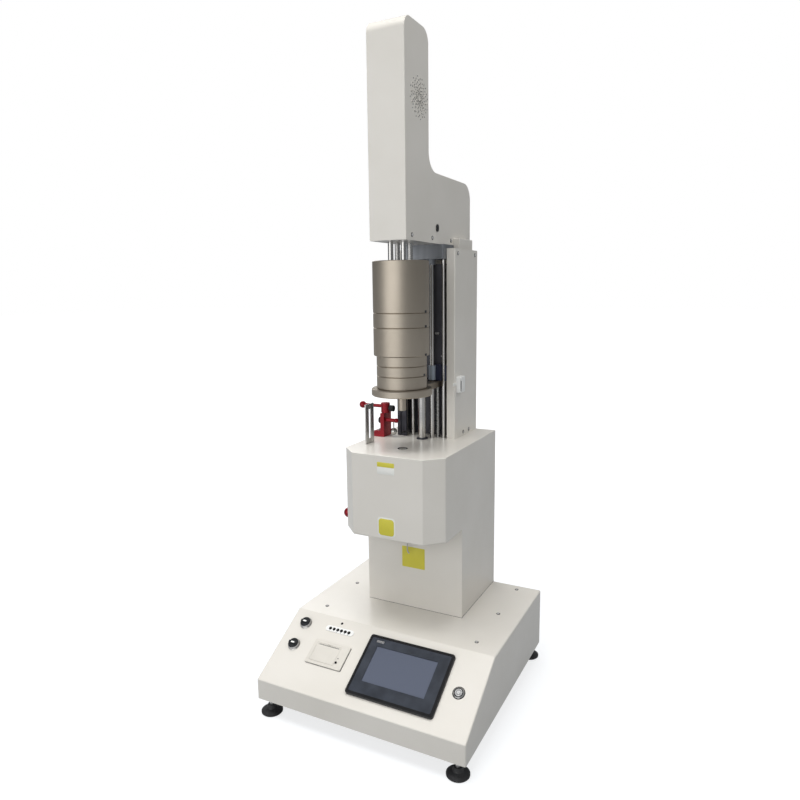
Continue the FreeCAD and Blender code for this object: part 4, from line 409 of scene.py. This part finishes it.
def apply_all(piece):
    only(piece)
    bpy.ops.object.transform_apply(location=True, rotation=True, scale=True)


def settle(piece, place):
    """Puts the piece at its place, with the place taken into its mesh."""
    piece.matrix_world = place
    apply_all(piece)
    return piece


def apply_modifier(piece, kind, **settings):
    only(piece)
    modifier = piece.modifiers.new(kind.lower(), kind)
    for name, value in settings.items():
        setattr(modifier, name, value)
    bpy.ops.object.modifier_apply(modifier=modifier.name)


def carve(piece, cutter):
    """Cuts the cutter's form out of the piece."""
    bpy.context.view_layer.update()
    apply_modifier(piece, "BOOLEAN", operation="DIFFERENCE", object=cutter, solver="EXACT")
    bpy.data.objects.remove(cutter)


def slab(name, width, depth, height, corner=0.0, edge=0.0, low=0.0):
    """Flat block on z = low, with rounded upright corners and a rounded upper edge."""
    piece = begin(name, bpy.ops.mesh.primitive_cube_add, size=1.0,
                  location=(0, 0, low + height / 2), scale=(width, depth, height))
    apply_all(piece)
    bpy.ops.object.mode_set(mode="EDIT")
    if corner:
        choose_edges(piece, lambda middle, way: abs(way.z) > 0.99)
        bpy.ops.mesh.bevel(offset=corner, segments=6, affect="EDGES")
    if edge:
        choose_edges(piece, lambda middle, way: middle.z > low + height - 1e-6 and abs(way.z) < 0.01)
        bpy.ops.mesh.bevel(offset=edge, segments=3, affect="EDGES")
    bpy.ops.object.mode_set(mode="OBJECT")
    return piece


def turning(name, profile, sides=40):
    """Turned piece about Z: a disc is drawn up and in along the profile of (radius, height)."""
    radius, height = profile[0]
    piece = begin(name, bpy.ops.mesh.primitive_circle_add, vertices=sides, radius=radius,
                  fill_type="NGON", location=(0, 0, height))
    apply_all(piece)
    bpy.ops.object.mode_set(mode="EDIT")
    bpy.ops.mesh.select_mode(type="FACE")
    bpy.ops.mesh.select_all(action="SELECT")
    for new_radius, new_height in profile[1:]:
        bpy.ops.mesh.extrude_region_move(TRANSFORM_OT_translate={"value": (0, 0, new_height - height)})
        if abs(new_radius - radius) > 1e-7:
            share = new_radius / radius
            bpy.ops.transform.resize(value=(share, share, 1), center_override=(0, 0, new_height))
        radius, height = new_radius, new_height
    bpy.ops.mesh.select_all(action="SELECT")
    bpy.ops.mesh.remove_doubles(threshold=1e-6)
    bpy.ops.mesh.normals_make_consistent(inside=False)
    bpy.ops.object.mode_set(mode="OBJECT")
    return piece


def bored(name, profile, bore, sides):
    """Turned ring about Z; its bore is a radius with a lower and an upper level."""
    radius, low, high = bore
    ring = turning(name, profile, sides)
    carve(ring, turning(name + "_bore", [(radius, low), (radius, high)], sides))
    return ring


def thread(name, radius, depth, pitch, low, high, sides=18):
    """Screw thread: a V drawn up round Z by a screw modifier, between two levels."""
    piece = begin(name, bpy.ops.mesh.primitive_plane_add, size=1.0)
    bpy.ops.object.mode_set(mode="EDIT")
    bpy.ops.mesh.delete(type="ONLY_FACE")
    mesh = bmesh.from_edit_mesh(piece.data)
    mesh.verts.ensure_lookup_table()
    outline = ((radius - depth, 0, low), (radius, 0, low + pitch * 0.35),
               (radius, 0, low + pitch * 0.55), (radius - depth, 0, low + pitch))
    for vertex, place in zip(mesh.verts, outline):
        vertex.co = place
    for edge in list(mesh.edges):
        mesh.edges.remove(edge)
    for k in range(3):
        mesh.edges.new((mesh.verts[k], mesh.verts[k + 1]))
    bmesh.update_edit_mesh(piece.data)
    bpy.ops.object.mode_set(mode="OBJECT")
    turns = int((high - low) / pitch) - 1
    apply_modifier(piece, "SCREW", axis="Z", screw_offset=pitch, iterations=turns, steps=sides,
                   render_steps=sides, use_merge_vertices=True, use_normal_calculate=True)
    bpy.ops.object.mode_set(mode="EDIT")
    bpy.ops.mesh.select_all(action="SELECT")
    bpy.ops.mesh.remove_doubles(threshold=1e-6)
    bpy.ops.mesh.normals_make_consistent(inside=False)
    bpy.ops.object.mode_set(mode="OBJECT")
    return piece


def copy_of(piece, name):
    twin = piece.copy()
    twin.data = piece.data.copy()
    twin.name = twin.data.name = name
    bpy.context.scene.collection.objects.link(twin)
    return twin


def join(name, pieces):
    """Makes one mesh of several pieces."""
    bpy.ops.object.select_all(action="DESELECT")
    for piece in pieces:
        piece.select_set(True)
    bpy.context.view_layer.objects.active = pieces[0]
    bpy.ops.object.join()
    whole = bpy.context.object
    whole.name = whole.data.name = name
    return whole


def seat(piece, body, finish, place=None):
    """Applies the piece's place to its mesh, gives it its finish and hangs it on its body."""
    bpy.context.view_layer.update()
    if place is not None:
        piece.matrix_world = place @ piece.matrix_world
    apply_all(piece)
    bpy.ops.object.shade_smooth_by_angle(angle=SMOOTH_ANGLE)
    piece.data.materials.clear()
    piece.data.materials.append(finish)
    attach(piece, body)
    return piece


def on_panel(x, along, out=0.0):
    """Place on the sloping panel: local Z stands out of its face, local Y points up the slope."""
    cos, sin = math.cos(PANEL_ANGLE), math.sin(PANEL_ANGLE)
    place = Vector((x, FRONT_Y + along * cos - out * sin, LIP_Z + along * sin + out * cos))
    return Matrix.Translation(place) @ Matrix.Rotation(PANEL_ANGLE, 4, "X")


def facing(place, towards):
    """Place for a piece whose local Z is to point along `towards`."""
    turn = Vector(towards).to_track_quat("Z", "Y").to_matrix().to_4x4()
    return Matrix.Translation(Vector(place)) @ turn


# ---------------------------------------------------------------- control panel

def touch_panel_details():
    """Raised rim, satin inlay round the screen, and a blank silver plate."""
    bezel = on_panel(0.068, 0.0985, 0.0065)
    rim = slab("touch_panel_rim", 0.2032, 0.1422, 0.0009, corner=0.0058, edge=0.0007, low=-0.0002)
    carve(rim, slab("rim_window", 0.1912, 0.1302, 0.004, corner=0.0035, low=-0.002))
    seat(rim, "frame", FINISHES["gloss_black"], bezel)

    inlay = slab("touch_panel_inlay", 0.1908, 0.1298, 0.0003, corner=0.0034, edge=0.0001)
    window = slab("inlay_window", 0.147, 0.084, 0.004, corner=0.0005, low=-0.002)
    window.location = (-0.0025, 0.0035, window.location.z)
    carve(inlay, window)
    seat(inlay, "frame", FINISHES["panel_inlay"], bezel)

    plate = slab("touch_panel_plate", 0.018, 0.0052, 0.0005, corner=0.0012, edge=0.0002, low=0.0003)
    plate.location = (-0.073, 0.0568, plate.location.z)
    seat(plate, "frame", FINISHES["silver_plate"], bezel)


def printer_details():
    """Paper slot with a toothed tear bar and a power light; the slot is a dark strip of painted shade,
    and a dark ring set a little right and down round the printer paints the shadow along its edges.
    """
    face = on_panel(-0.1145, 0.097, 0.0035)
    # dark strip: painted shade in the paper slot
    slot = slab("paper_slot_painted_shade", 0.0560, 0.0006, 0.0002, corner=0.0003)
    slot.location = (-0.0068, 0.0180, slot.location.z)
    seat(slot, "printer_door", FINISHES["grey_print_and_painted_shade"], face)

    teeth, first, pitch = [], -0.0305, 0.002
    for k in range(26):
        tooth = begin("tooth", bpy.ops.mesh.primitive_cone_add, vertices=3, radius1=0.0011,
                      radius2=0.0009, depth=0.0003, location=(first + pitch * k, 0.0192, 0.0003),
                      rotation=(0, 0, math.radians(-90)))
        teeth.append(tooth)
    bar = join("tear_bar", teeth)
    seat(bar, "printer_door", FINISHES["stainless"], face)

    light = turning("printer_light", [(0.0012, -0.0003), (0.0012, 0.0002), (0.0008, 0.0005),
                                      (0.0001, 0.0006)], 20)
    light.location = (0.0295, -0.0035, light.location.z)
    seat(light, "frame", FINISHES["dark_lens"], face)

    # painted shadow: a dark ring set off right and down from the printer, so a dark line shows along
    # its right and lower edges
    shadow_edge = slab("printer_painted_shadow_edge", 0.0940, 0.0588, 0.0007, corner=0.0030)
    carve(shadow_edge, slab("painted_shadow_edge_window", 0.0925, 0.0572, 0.004, corner=0.0026, low=-0.002))
    seat(shadow_edge, "frame", FINISHES["grey_print_and_painted_shade"], on_panel(-0.1139, 0.0968))


def lamp_details():
    """Black rim round each of the six lenses, plain numerals under them, and the sounder's cap."""
    plate = on_panel(-0.117, 0.160, 0.0012)
    lens_places = [-0.025 + 0.010 * k for k in range(6)]
    rim = bored("lens_rim_pattern", [(0.0038, 0.0), (0.0038, 0.0004), (0.0036, 0.0006)],
                (0.0029, -0.001, 0.002), 28)
    rims = []
    for x in lens_places:
        copy = copy_of(rim, "lens_rim")
        copy.location.x = x
        rims.append(copy)
    bpy.data.objects.remove(rim)
    bpy.context.view_layer.update()
    seat(join("lens_rims", rims), "frame", FINISHES["gloss_black"], plate)

    marks = []
    for number, x in enumerate(lens_places, 1):
        bpy.ops.object.select_all(action="DESELECT")
        bpy.ops.object.text_add(location=(x, -0.0065, 0.00002))
        text = bpy.context.object
        text.data.body = str(number)
        text.data.size = 0.0044
        text.data.extrude = 0.00006
        text.data.align_x = "CENTER"
        bpy.ops.object.convert(target="MESH")
        marks.append(bpy.context.object)
    numbers = join("lamp_numbers", marks)
    seat(numbers, "frame", FINISHES["gloss_black"], plate)

    grille = turning("sounder_grille", [(0.0029, -0.0002), (0.0029, 0.0004), (0.0022, 0.0008),
                                        (0.0004, 0.0009)], 24)
    seat(grille, "frame", FINISHES["gloss_black"], on_panel(-0.1205, 0.1787))


def selector_details():
    """White pointer let into each selector's grip, and the metal skirt round its foot."""
    across, grip_top = -0.209, 0.0123
    for name, along in (("upper", 0.157), ("lower", 0.0995)):
        body = name + "_selector"
        pointer = slab(body + "_pointer", 0.0088, 0.0036, 0.0008, corner=0.0014, edge=0.0002,
                       low=-0.0005)
        pointer.location = (0.0008, -0.0006, pointer.location.z)
        seat(pointer, body, FINISHES["white_plastic"],
             on_panel(across, along, grip_top))
        skirt = bored(body + "_skirt", [(0.01225, 0.0029), (0.0127, 0.0033), (0.0127, 0.0066),
                                        (0.0123, 0.0070)], (0.0121, 0.0, 0.010), 48)
        seat(skirt, body, FINISHES["silver_plate"], on_panel(across, along))


def push_button_details():
    """Dark rings of painted shade round the foot of the ring and in the groove between ring and cap,
    and a fine ring on the cap.
    """
    place = on_panel(0.202, 0.095)
    # the seat and groove rings are painted shade: dark round the foot of the ring and in the groove
    # between ring and cap
    for name, body, inner, outer, low, high, finish in (
            ("button_seat_painted_shade", "frame", 0.0119, 0.0135, 0.0, 0.0007, "gloss_black"),
            ("button_groove_painted_shade", "frame", 0.0080, 0.0096, 0.0017, 0.0028, "gloss_black"),
            ("button_halo", "push_button", 0.0046, 0.0056, 0.0030, 0.0036, "grey_print_and_painted_shade")):
        ring = bored(name, [(outer, low), (outer, high), (outer - 0.0001, high + 0.0001)],
                     (inner, low - 0.001, high + 0.001), 48)
        seat(ring, body, FINISHES[finish], place)


# ---------------------------------------------------------------- stickers

def stickers():
    """Blank adhesive patches on the furnace housing and the pedestal."""
    pedestal_y, on_margin_y = 0.02345, HOUSING_FRONT_Y - 0.0002
    for name, width, height, x, y, z, finish in (
            ("housing_sticker_band", 0.0420, 0.0105, -0.0013, HOUSING_FRONT_Y, 0.5650, "yellow_film"),
            ("housing_sticker_field", 0.0420, 0.0160, -0.0013, HOUSING_FRONT_Y, 0.5516, "white_film"),
            ("housing_square_margin", 0.0440, 0.0440, -0.0015, HOUSING_FRONT_Y, 0.4240, "white_film"),
            ("housing_square_field", 0.0380, 0.0380, -0.0015, on_margin_y, 0.4240, "yellow_film"),
            ("pedestal_sticker", 0.0600, 0.0520, -0.0007, pedestal_y, 0.3050, "yellow_film")):
        corner = 0.0075 if "square" in name else 0.0016
        patch = slab(name, width, height, 0.00025, corner=corner, edge=0.0001)
        seat(patch, "frame", FINISHES[finish], facing((x, y, z), (0, -1, 0)))


# ---------------------------------------------------------------- hardware

def socket_screw(name, radius, height, socket):
    """Button-head screw with a hexagon socket: the top face is inset, turned hexagonal and sunk."""
    screw = turning(name, [(radius, 0.0), (radius, height * 0.35), (radius * 0.93, height * 0.65),
                           (radius * 0.74, height * 0.92), (radius * 0.62, height)], 30)
    bore = begin(name + "_bore", bpy.ops.mesh.primitive_cylinder_add, vertices=6, radius=socket,
                 depth=height * 1.2, location=(0, 0, height * 0.85))
    apply_all(bore)
    carve(screw, bore)
    return screw


def screws():
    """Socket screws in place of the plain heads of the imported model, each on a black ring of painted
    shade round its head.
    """
    sides, deck_x, head_z, back_x = (-1, 1), 0.194, 1.051, 0.1125
    places = [((side * deck_x, y, DECK_Z), (0, 0, 1)) for side in sides
              for y in (-0.06295, 0.08055, 0.22405)]
    places += [((side * COLUMN_SIDE_X, y, z), (side, 0, 0)) for side in sides
               for y, z in ((0.12005, 1.020), (0.22805, 1.020), (0.15605, 0.594), (0.19205, 0.594))]
    places += [((side * HEAD_SIDE_X, y, head_z), (side, 0, 0)) for side in sides
               for y in (-0.0581, 0.0444, 0.1494)]
    places += [((side * back_x, BACK_PANEL_Y, z), (0, 1, 0)) for side in sides
               for z in (0.1924, 0.3797, 0.567)]
    screw = socket_screw("screw_pattern", 0.0032, 0.0024, 0.0016)
    # black ring under each head: painted shade, the dark outline round the screw
    shade_ring = turning("shade_ring_pattern", [(0.0046, 0.0), (0.0046, 0.0005), (0.0042, 0.0008)], 24)
    heads, shade_rings = [], []
    for place, towards in places:
        for pattern, copies in ((screw, heads), (shade_ring, shade_rings)):
            copies.append(settle(copy_of(pattern, pattern.name), facing(place, towards)))
    bpy.data.objects.remove(screw)
    bpy.data.objects.remove(shade_ring)
    heads = seat(join("socket_screws", heads), "frame", FINISHES["screw_bright"])
    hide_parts("screws")
    seat(join("screw_painted_shade_rings", shade_rings), "frame", FINISHES["gloss_black"])


def drive_screw_thread():
    """Trapezoidal thread of the lift's drive screw."""
    low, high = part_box("drive_screw")
    radius = (high.x - low.x) / 2
    ridge = thread("drive_screw_thread", radius, 0.0009, 0.0024, low.z + 0.001, high.z - 0.001, 16)
    core = turning("drive_screw_core", [(radius - 0.0008, low.z), (radius - 0.0008, high.z)], 24)
    screw = join("drive_screw_threaded", [ridge, core])
    seat(screw, "lift", FINISHES["screw_steel"],
         Matrix.Translation(((low.x + high.x) / 2, (low.y + high.y) / 2, 0)))
    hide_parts("drive_screw")


def foot_threads():
    """Thread on the stud of each foot, where it shows between the pad and the base."""
    for name, x, y in (("front_left", -0.2265, -0.24745), ("front_right", 0.2265, -0.24745),
                       ("back_left", -0.2265, 0.23405), ("back_right", 0.2265, 0.23405)):
        ridge = thread("foot_thread_" + name, 0.0053, 0.0006, 0.0015, 0.0195, 0.0372, 18)
        seat(ridge, "frame", FINISHES["screw_steel"], Matrix.Translation((x, y, 0)))


def weight_notches():
    """Small dark patches at the joints of the weights: painted shade of keyway recesses."""
    for body, degrees in (("weight_6", 86), ("weight_5", 86), ("weight_4", 86), ("weight_2", 90)):
        low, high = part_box(body)
        radius = (high.x - low.x) / 2
        angle = math.radians(degrees)
        place = (radius * math.sin(angle), AXIS_Y - radius * math.cos(angle), low.z + 0.0030)
        towards = (math.sin(angle), -math.cos(angle), 0)
        # black patch: painted shade where the keyway recess shows dark
        notch_shade = slab(body + "_keyway_painted_shade", 0.0085, 0.0052, 0.0005, corner=0.0008, edge=0.0002, low=-0.0004)
        seat(notch_shade, body, FINISHES["black_plastic"], facing(place, towards))


def clamp_screws():
    """Two socket screws that hold the red clamp's foot."""
    screw = socket_screw("clamp_screw_pattern", 0.0032, 0.0026, 0.0016)
    for name, y in (("front", 0.0665), ("back", 0.0875)):
        head = copy_of(screw, "clamp_screw_" + name)
        seat(head, "frame", FINISHES["screw_steel"],
             Matrix.Translation((-0.1135, y, 0.600)))
    bpy.data.objects.remove(screw)


def column_trim():
    """Screws of the column's inner panel, and the small lever at the foot of its limit rail."""
    screw = socket_screw("panel_screw_pattern", 0.0028, 0.0020, 0.0010)
    for k, (x, z) in enumerate(((0.0095, 0.8342), (0.0150, 0.8342), (0.0251, 0.7793))):
        head = copy_of(screw, "inner_panel_screw_%d" % (k + 1))
        seat(head, "frame", FINISHES["screw_steel"],
             facing((x, INNER_PANEL_Y, z), (0, -1, 0)))
    bpy.data.objects.remove(screw)

    tilt = Matrix.Rotation(math.radians(-22.5), 4, "Y")
    blade = slab("foot_lever_blade", 0.0245, 0.0030, 0.0030, corner=0.0014, edge=0.0005,
                 low=-0.0015)
    settle(blade, Matrix.Translation((-0.0528, 0.0915, 0.5963)) @ tilt)
    pivot = turning("foot_lever_pivot", [(0.0021, -0.0040), (0.0021, 0.0020), (0.0015, 0.0026)], 24)
    settle(pivot, facing((-0.0560, 0.0915, 0.5950), (0, -1, 0)))
    seat(join("foot_lever", [blade, pivot]), "frame", FINISHES["gloss_black"])


def sleeve_covers():
    """Grey covers on the two guide sleeves, each with a black wiper ring at its foot."""
    for name, x in (("left", -GUIDE_ROD_X), ("right", GUIDE_ROD_X)):
        for kind, radius, low, high, finish, slot in (
                ("cover", 0.0086, 0.7270, 0.7612, "sleeve_grey", "grey_anodised"),
                ("wiper", 0.0092, 0.7240, 0.7270, "gloss_black", "black_plastic")):
            tube = bored("%s_sleeve_%s" % (name, kind),
                         [(radius, low), (radius, high - 0.0006), (radius - 0.0006, high)],
                         (0.0079, low - 0.001, high + 0.001), 36)
            seat(tube, "lift", FINISHES[finish], Matrix.Translation((x, GUIDE_ROD_Y, 0)))


def barrel_mouth():
    """Dark sealing ring between the barrel's mouth and the tower's deck."""
    ring = bored("barrel_mouth_ring", [(0.0119, 0.5836), (0.0119, 0.5846), (0.0117, 0.5848)],
                 (0.0088, 0.580, 0.590), 48)
    seat(ring, "frame", FINISHES["gloss_black"],
         Matrix.Translation((0, AXIS_Y, 0)))


def crowned_head():
    """Head cover with its two upper folds drawn out to the wide bends of the real sheet."""
    cover = copy_of(frame["nodes"]["head_cover"], "head_cover_crowned")
    only(cover)
    bpy.ops.object.mode_set(mode="EDIT")
    bpy.ops.mesh.select_all(action="SELECT")
    bpy.ops.mesh.remove_doubles(threshold=0.00001)
    bpy.ops.object.mode_set(mode="OBJECT")
    top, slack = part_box("head_cover")[1].z, 0.00001
    for face, inwards, fold, wide in ((AXIS_Y - 0.058, 1, 0.011, 0.026),
                                      (AXIS_Y + 0.0555, -1, 0.015, 0.027)):
        for point in cover.data.vertices:
            along, rise = point.co.y - (face + inwards * fold), point.co.z - (top - fold)
            if along * inwards < slack and rise > -slack:
                grown = 1 + (wide - fold) / math.hypot(along, rise)
                point.co.y = face + inwards * wide + along * grown
                point.co.z = top - wide + rise * grown
    seat(cover, "frame", FINISHES["light_paint"])
    apply_modifier(cover, "WEIGHTED_NORMAL", weight=100, keep_sharp=True)
    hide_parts("head_cover")


def vent_details():
    """Rim of each hole in the head's vent, a dark disc of painted shade inside each hole, and dark
    grey spots of painted shade between its arms.
    """
    rim = bored("rim_pattern", [(0.0029, 0.0), (0.0024, 0.0010), (0.0020, 0.0010)],
                (0.0018, -0.001, 0.002), 12)
    # dark disc filling each hole: painted shade inside the hole
    hole_shade = turning("hole_shade_pattern", [(0.0013, -0.0015), (0.0013, 0.0), (0.0019, 0.0),
                                    (0.0019, 0.0003)], 12)
    # dark grey spot between the arms: painted shade on the embossing
    shade_spot = turning("shade_spot_pattern", [(0.0014, 0.0), (0.0012, 0.0003)], 10)
    rims, hole_shades, shade_spots = [], [], []
    centre_y, centre_z = -0.01955, 1.328
    inner_radius, ring_pitch, arm_pitch, ring_twist = 0.008, 0.0074, 30.0, 6.0
    for ring in range(5):
        for arm in range(12):
            for pattern, copies, outward, turn in ((rim, rims, 0.0, 0.0), (hole_shade, hole_shades, 0.0, 0.0),
                                                   (shade_spot, shade_spots, 0.0037, 15.0)):
                radius = inner_radius + ring_pitch * ring + outward
                angle = math.radians(arm_pitch * arm + ring_twist * ring + turn)
                place = (HEAD_SIDE_X, centre_y + radius * math.cos(angle),
                         centre_z + radius * math.sin(angle))
                copies.append(settle(copy_of(pattern, pattern.name), facing(place, (1, 0, 0))))
    for pattern in (rim, hole_shade, shade_spot):
        bpy.data.objects.remove(pattern)
    seat(join("vent_rims", rims), "frame", FINISHES["light_paint"])
    seat(join("vent_hole_painted_shade", hole_shades), "frame", FINISHES["gloss_black"])
    seat(join("vent_painted_shade_spots", shade_spots), "frame", FINISHES["grey_print_and_painted_shade"])


def pedestal_seam():
    """Dark sealing strip between the pedestal and the deck."""
    low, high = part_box("tower_housing")
    width = high.x - low.x
    seam = slab("pedestal_seam", width + 0.0008, 0.2254, 0.0006)
    carve(seam, slab("seam_window", width - 0.0040, 0.2206, 0.004, low=-0.002))
    seat(seam, "frame", FINISHES["grey_print_and_painted_shade"],
         Matrix.Translation((0, 0.13575, DECK_Z)))


def catch_details():
    """Interlock catch on the column's side: bolt, covers with a dark strip of painted shade in the gap
    between them, bracket.
    """
    outwards, forwards = (1, 0, 0), (0, -1, 0)
    catch_z, outer_x = 0.7160, 0.0840
    bolt = slab("catch_bolt", 0.0124, 0.0190, 0.0062, corner=0.0008, edge=0.0005)
    seat(bolt, "frame", FINISHES["white_plastic"],
         facing((0.0772, 0.1197, catch_z), outwards))

    cover = slab("catch_cover", 0.0205, 0.0370, 0.0012, corner=0.0012, edge=0.0004)
    settle(cover, facing((outer_x, 0.1264, catch_z), outwards))
    front = slab("catch_front", 0.0105, 0.0370, 0.0010, corner=0.0010, edge=0.0003)
    settle(front, facing((0.0786, 0.11105, catch_z), forwards))
    seat(join("catch_covers", [cover, front]), "frame", FINISHES["white_plastic"])
    # dark strip: painted shade in the gap between the covers
    gap_shade = slab("catch_gap_painted_shade", 0.0028, 0.0250, 0.0004, corner=0.0004)
    seat(gap_shade, "frame", FINISHES["gloss_black"],
         facing((outer_x, 0.1140, 0.7125), outwards))

    leaf = slab("catch_leaf", 0.0350, 0.0070, 0.0016, corner=0.0006, edge=0.0003)
    tab = slab("catch_tab", 0.0045, 0.0160, 0.0016, corner=0.0006, edge=0.0003)
    tab.location = (0.0195, 0.0045, tab.location.z)
    seat(join("catch_bracket", [leaf, tab]), "frame", FINISHES["white_film"],
         facing((COLUMN_SIDE_X, 0.1078, 0.7180), outwards))


touch_panel_details()
printer_details()
lamp_details()
selector_details()
push_button_details()
stickers()
screws()
drive_screw_thread()
foot_threads()
weight_notches()
clamp_screws()
column_trim()
sleeve_covers()
barrel_mouth()
crowned_head()
vent_details()
pedestal_seam()
catch_details()


# ---------------------------------------------------------------- studio and camera

def white_floor():
    """Floor that glows a little and runs into the white surround."""
    bpy.ops.object.select_all(action="DESELECT")
    bpy.ops.mesh.primitive_plane_add(size=60.0, location=(0, 0, -0.0005))
    floor = bpy.context.object
    floor.name = "studio_floor"
    material = bpy.data.materials.new("studio_floor")
    material.use_nodes = True
    nodes, links = material.node_tree.nodes, material.node_tree.links
    surface = nodes["Principled BSDF"]
    surface.inputs["Base Color"].default_value = (0.30, 0.315, 0.33, 1)
    surface.inputs["Roughness"].default_value = 0.9
    surface.inputs["Specular IOR Level"].default_value = 0.0
    place = nodes.new("ShaderNodeTexCoord")
    distance = nodes.new("ShaderNodeVectorMath")
    distance.operation = "LENGTH"
    links.new(place.outputs["Object"], distance.inputs[0])
    fade = nodes.new("ShaderNodeMapRange")
    fade.inputs["From Min"].default_value = 0.5
    fade.inputs["From Max"].default_value = 3.0
    fade.inputs["To Min"].default_value = 0.74
    fade.inputs["To Max"].default_value = 1.0
    links.new(distance.outputs["Value"], fade.inputs["Value"])
    path = nodes.new("ShaderNodeLightPath")
    seen = nodes.new("ShaderNodeMath")
    seen.operation = "MULTIPLY_ADD"
    seen.inputs[1].default_value = 0.30
    links.new(path.outputs["Is Glossy Ray"], seen.inputs[0])
    links.new(path.outputs["Is Camera Ray"], seen.inputs[2])
    share = nodes.new("ShaderNodeMath")
    share.operation = "MULTIPLY"
    links.new(seen.outputs[0], share.inputs[0])
    links.new(fade.outputs["Result"], share.inputs[1])
    surface.inputs["Emission Color"].default_value = (1, 1, 1, 1)
    links.new(share.outputs[0], surface.inputs["Emission Strength"])
    floor.data.materials.append(material)


def soft_sky():
    """White to the camera, and a soft grey light that is brighter from above to the object."""
    world = bpy.data.worlds.new("soft_studio")
    bpy.context.scene.world = world
    world.use_nodes = True
    nodes, links = world.node_tree.nodes, world.node_tree.links
    light = nodes["Background"]
    output = nodes["World Output"]
    way = nodes.new("ShaderNodeTexCoord")
    split = nodes.new("ShaderNodeSeparateXYZ")
    links.new(way.outputs["Generated"], split.inputs[0])
    ramp = nodes.new("ShaderNodeValToRGB")
    ramp.color_ramp.elements[0].position = 0.0
    ramp.color_ramp.elements[0].color = (0.36, 0.38, 0.40, 1)
    ramp.color_ramp.elements[1].position = 1.0
    ramp.color_ramp.elements[1].color = (0.75, 0.75, 0.76, 1)
    links.new(split.outputs["Z"], ramp.inputs["Fac"])
    links.new(ramp.outputs["Color"], light.inputs["Color"])
    light.inputs["Strength"].default_value = 0.55
    white = nodes.new("ShaderNodeBackground")
    white.inputs["Color"].default_value = (1, 1, 1, 1)
    path = nodes.new("ShaderNodeLightPath")
    seen = nodes.new("ShaderNodeMath")
    seen.operation = "MAXIMUM"
    links.new(path.outputs["Is Camera Ray"], seen.inputs[0])
    links.new(path.outputs["Is Transmission Ray"], seen.inputs[1])
    mixed = nodes.new("ShaderNodeMixShader")
    links.new(seen.outputs[0], mixed.inputs["Fac"])
    links.new(light.outputs[0], mixed.inputs[1])
    links.new(white.outputs[0], mixed.inputs[2])
    links.new(mixed.outputs[0], output.inputs["Surface"])


def softboxes():
    """Four lamps aimed at the object's axis; the last value tells if metal mirrors them."""
    for name, place, aim_height, width, height, watts, mirrored in (
            ("key_softbox", (-0.7, -4.6, 1.5), 0.8, 5.6, 3.2, 98.0, True),
            ("top_softbox", (-0.35, -0.6, 4.3), 0.7, 2.2, 2.2, 118.0, False),
            ("left_panel", (-2.6, 2.4, 2.4), 0.3, 2.4, 1.8, 26.0, True),
            ("right_fill", (1.6, -0.3, 1.9), 1.1, 0.9, 0.9, 9.0, False)):
        lamp = bpy.data.lights.new(name, "AREA")
        lamp.shape = "RECTANGLE"
        lamp.size = width
        lamp.size_y = height
        lamp.energy = watts
        holder = bpy.data.objects.new(name, lamp)
        bpy.context.scene.collection.objects.link(holder)
        holder.location = place
        holder.visible_glossy = mirrored
        aim = Vector((0, 0, aim_height)) - Vector(place)
        holder.rotation_euler = aim.to_track_quat("-Z", "Y").to_euler()


def photo_camera():
    """Camera at the photograph's viewpoint."""
    viewpoint = (0.66805, -1.33003, 0.93562)
    azimuth, elevation, roll = math.radians(27.34), math.radians(9.31), math.radians(-0.68)
    back = Vector((math.sin(azimuth) * math.cos(elevation),
                   -math.cos(azimuth) * math.cos(elevation), math.sin(elevation)))
    right = Vector((math.cos(azimuth), math.sin(azimuth), 0))
    up = back.cross(right)
    side = math.cos(roll) * right + math.sin(roll) * up
    top = -math.sin(roll) * right + math.cos(roll) * up
    lens = bpy.data.cameras.new("camera")
    lens.lens = 29.89
    lens.sensor_width = 36.0
    camera = bpy.data.objects.new("camera", lens)
    bpy.context.scene.collection.objects.link(camera)
    turn = Matrix((side, top, back)).transposed().to_4x4()
    camera.matrix_world = Matrix.Translation(viewpoint) @ turn
    bpy.context.scene.camera = camera


white_floor()
soft_sky()
softboxes()
photo_camera()
bpy.context.scene.view_settings.view_transform = "Standard"
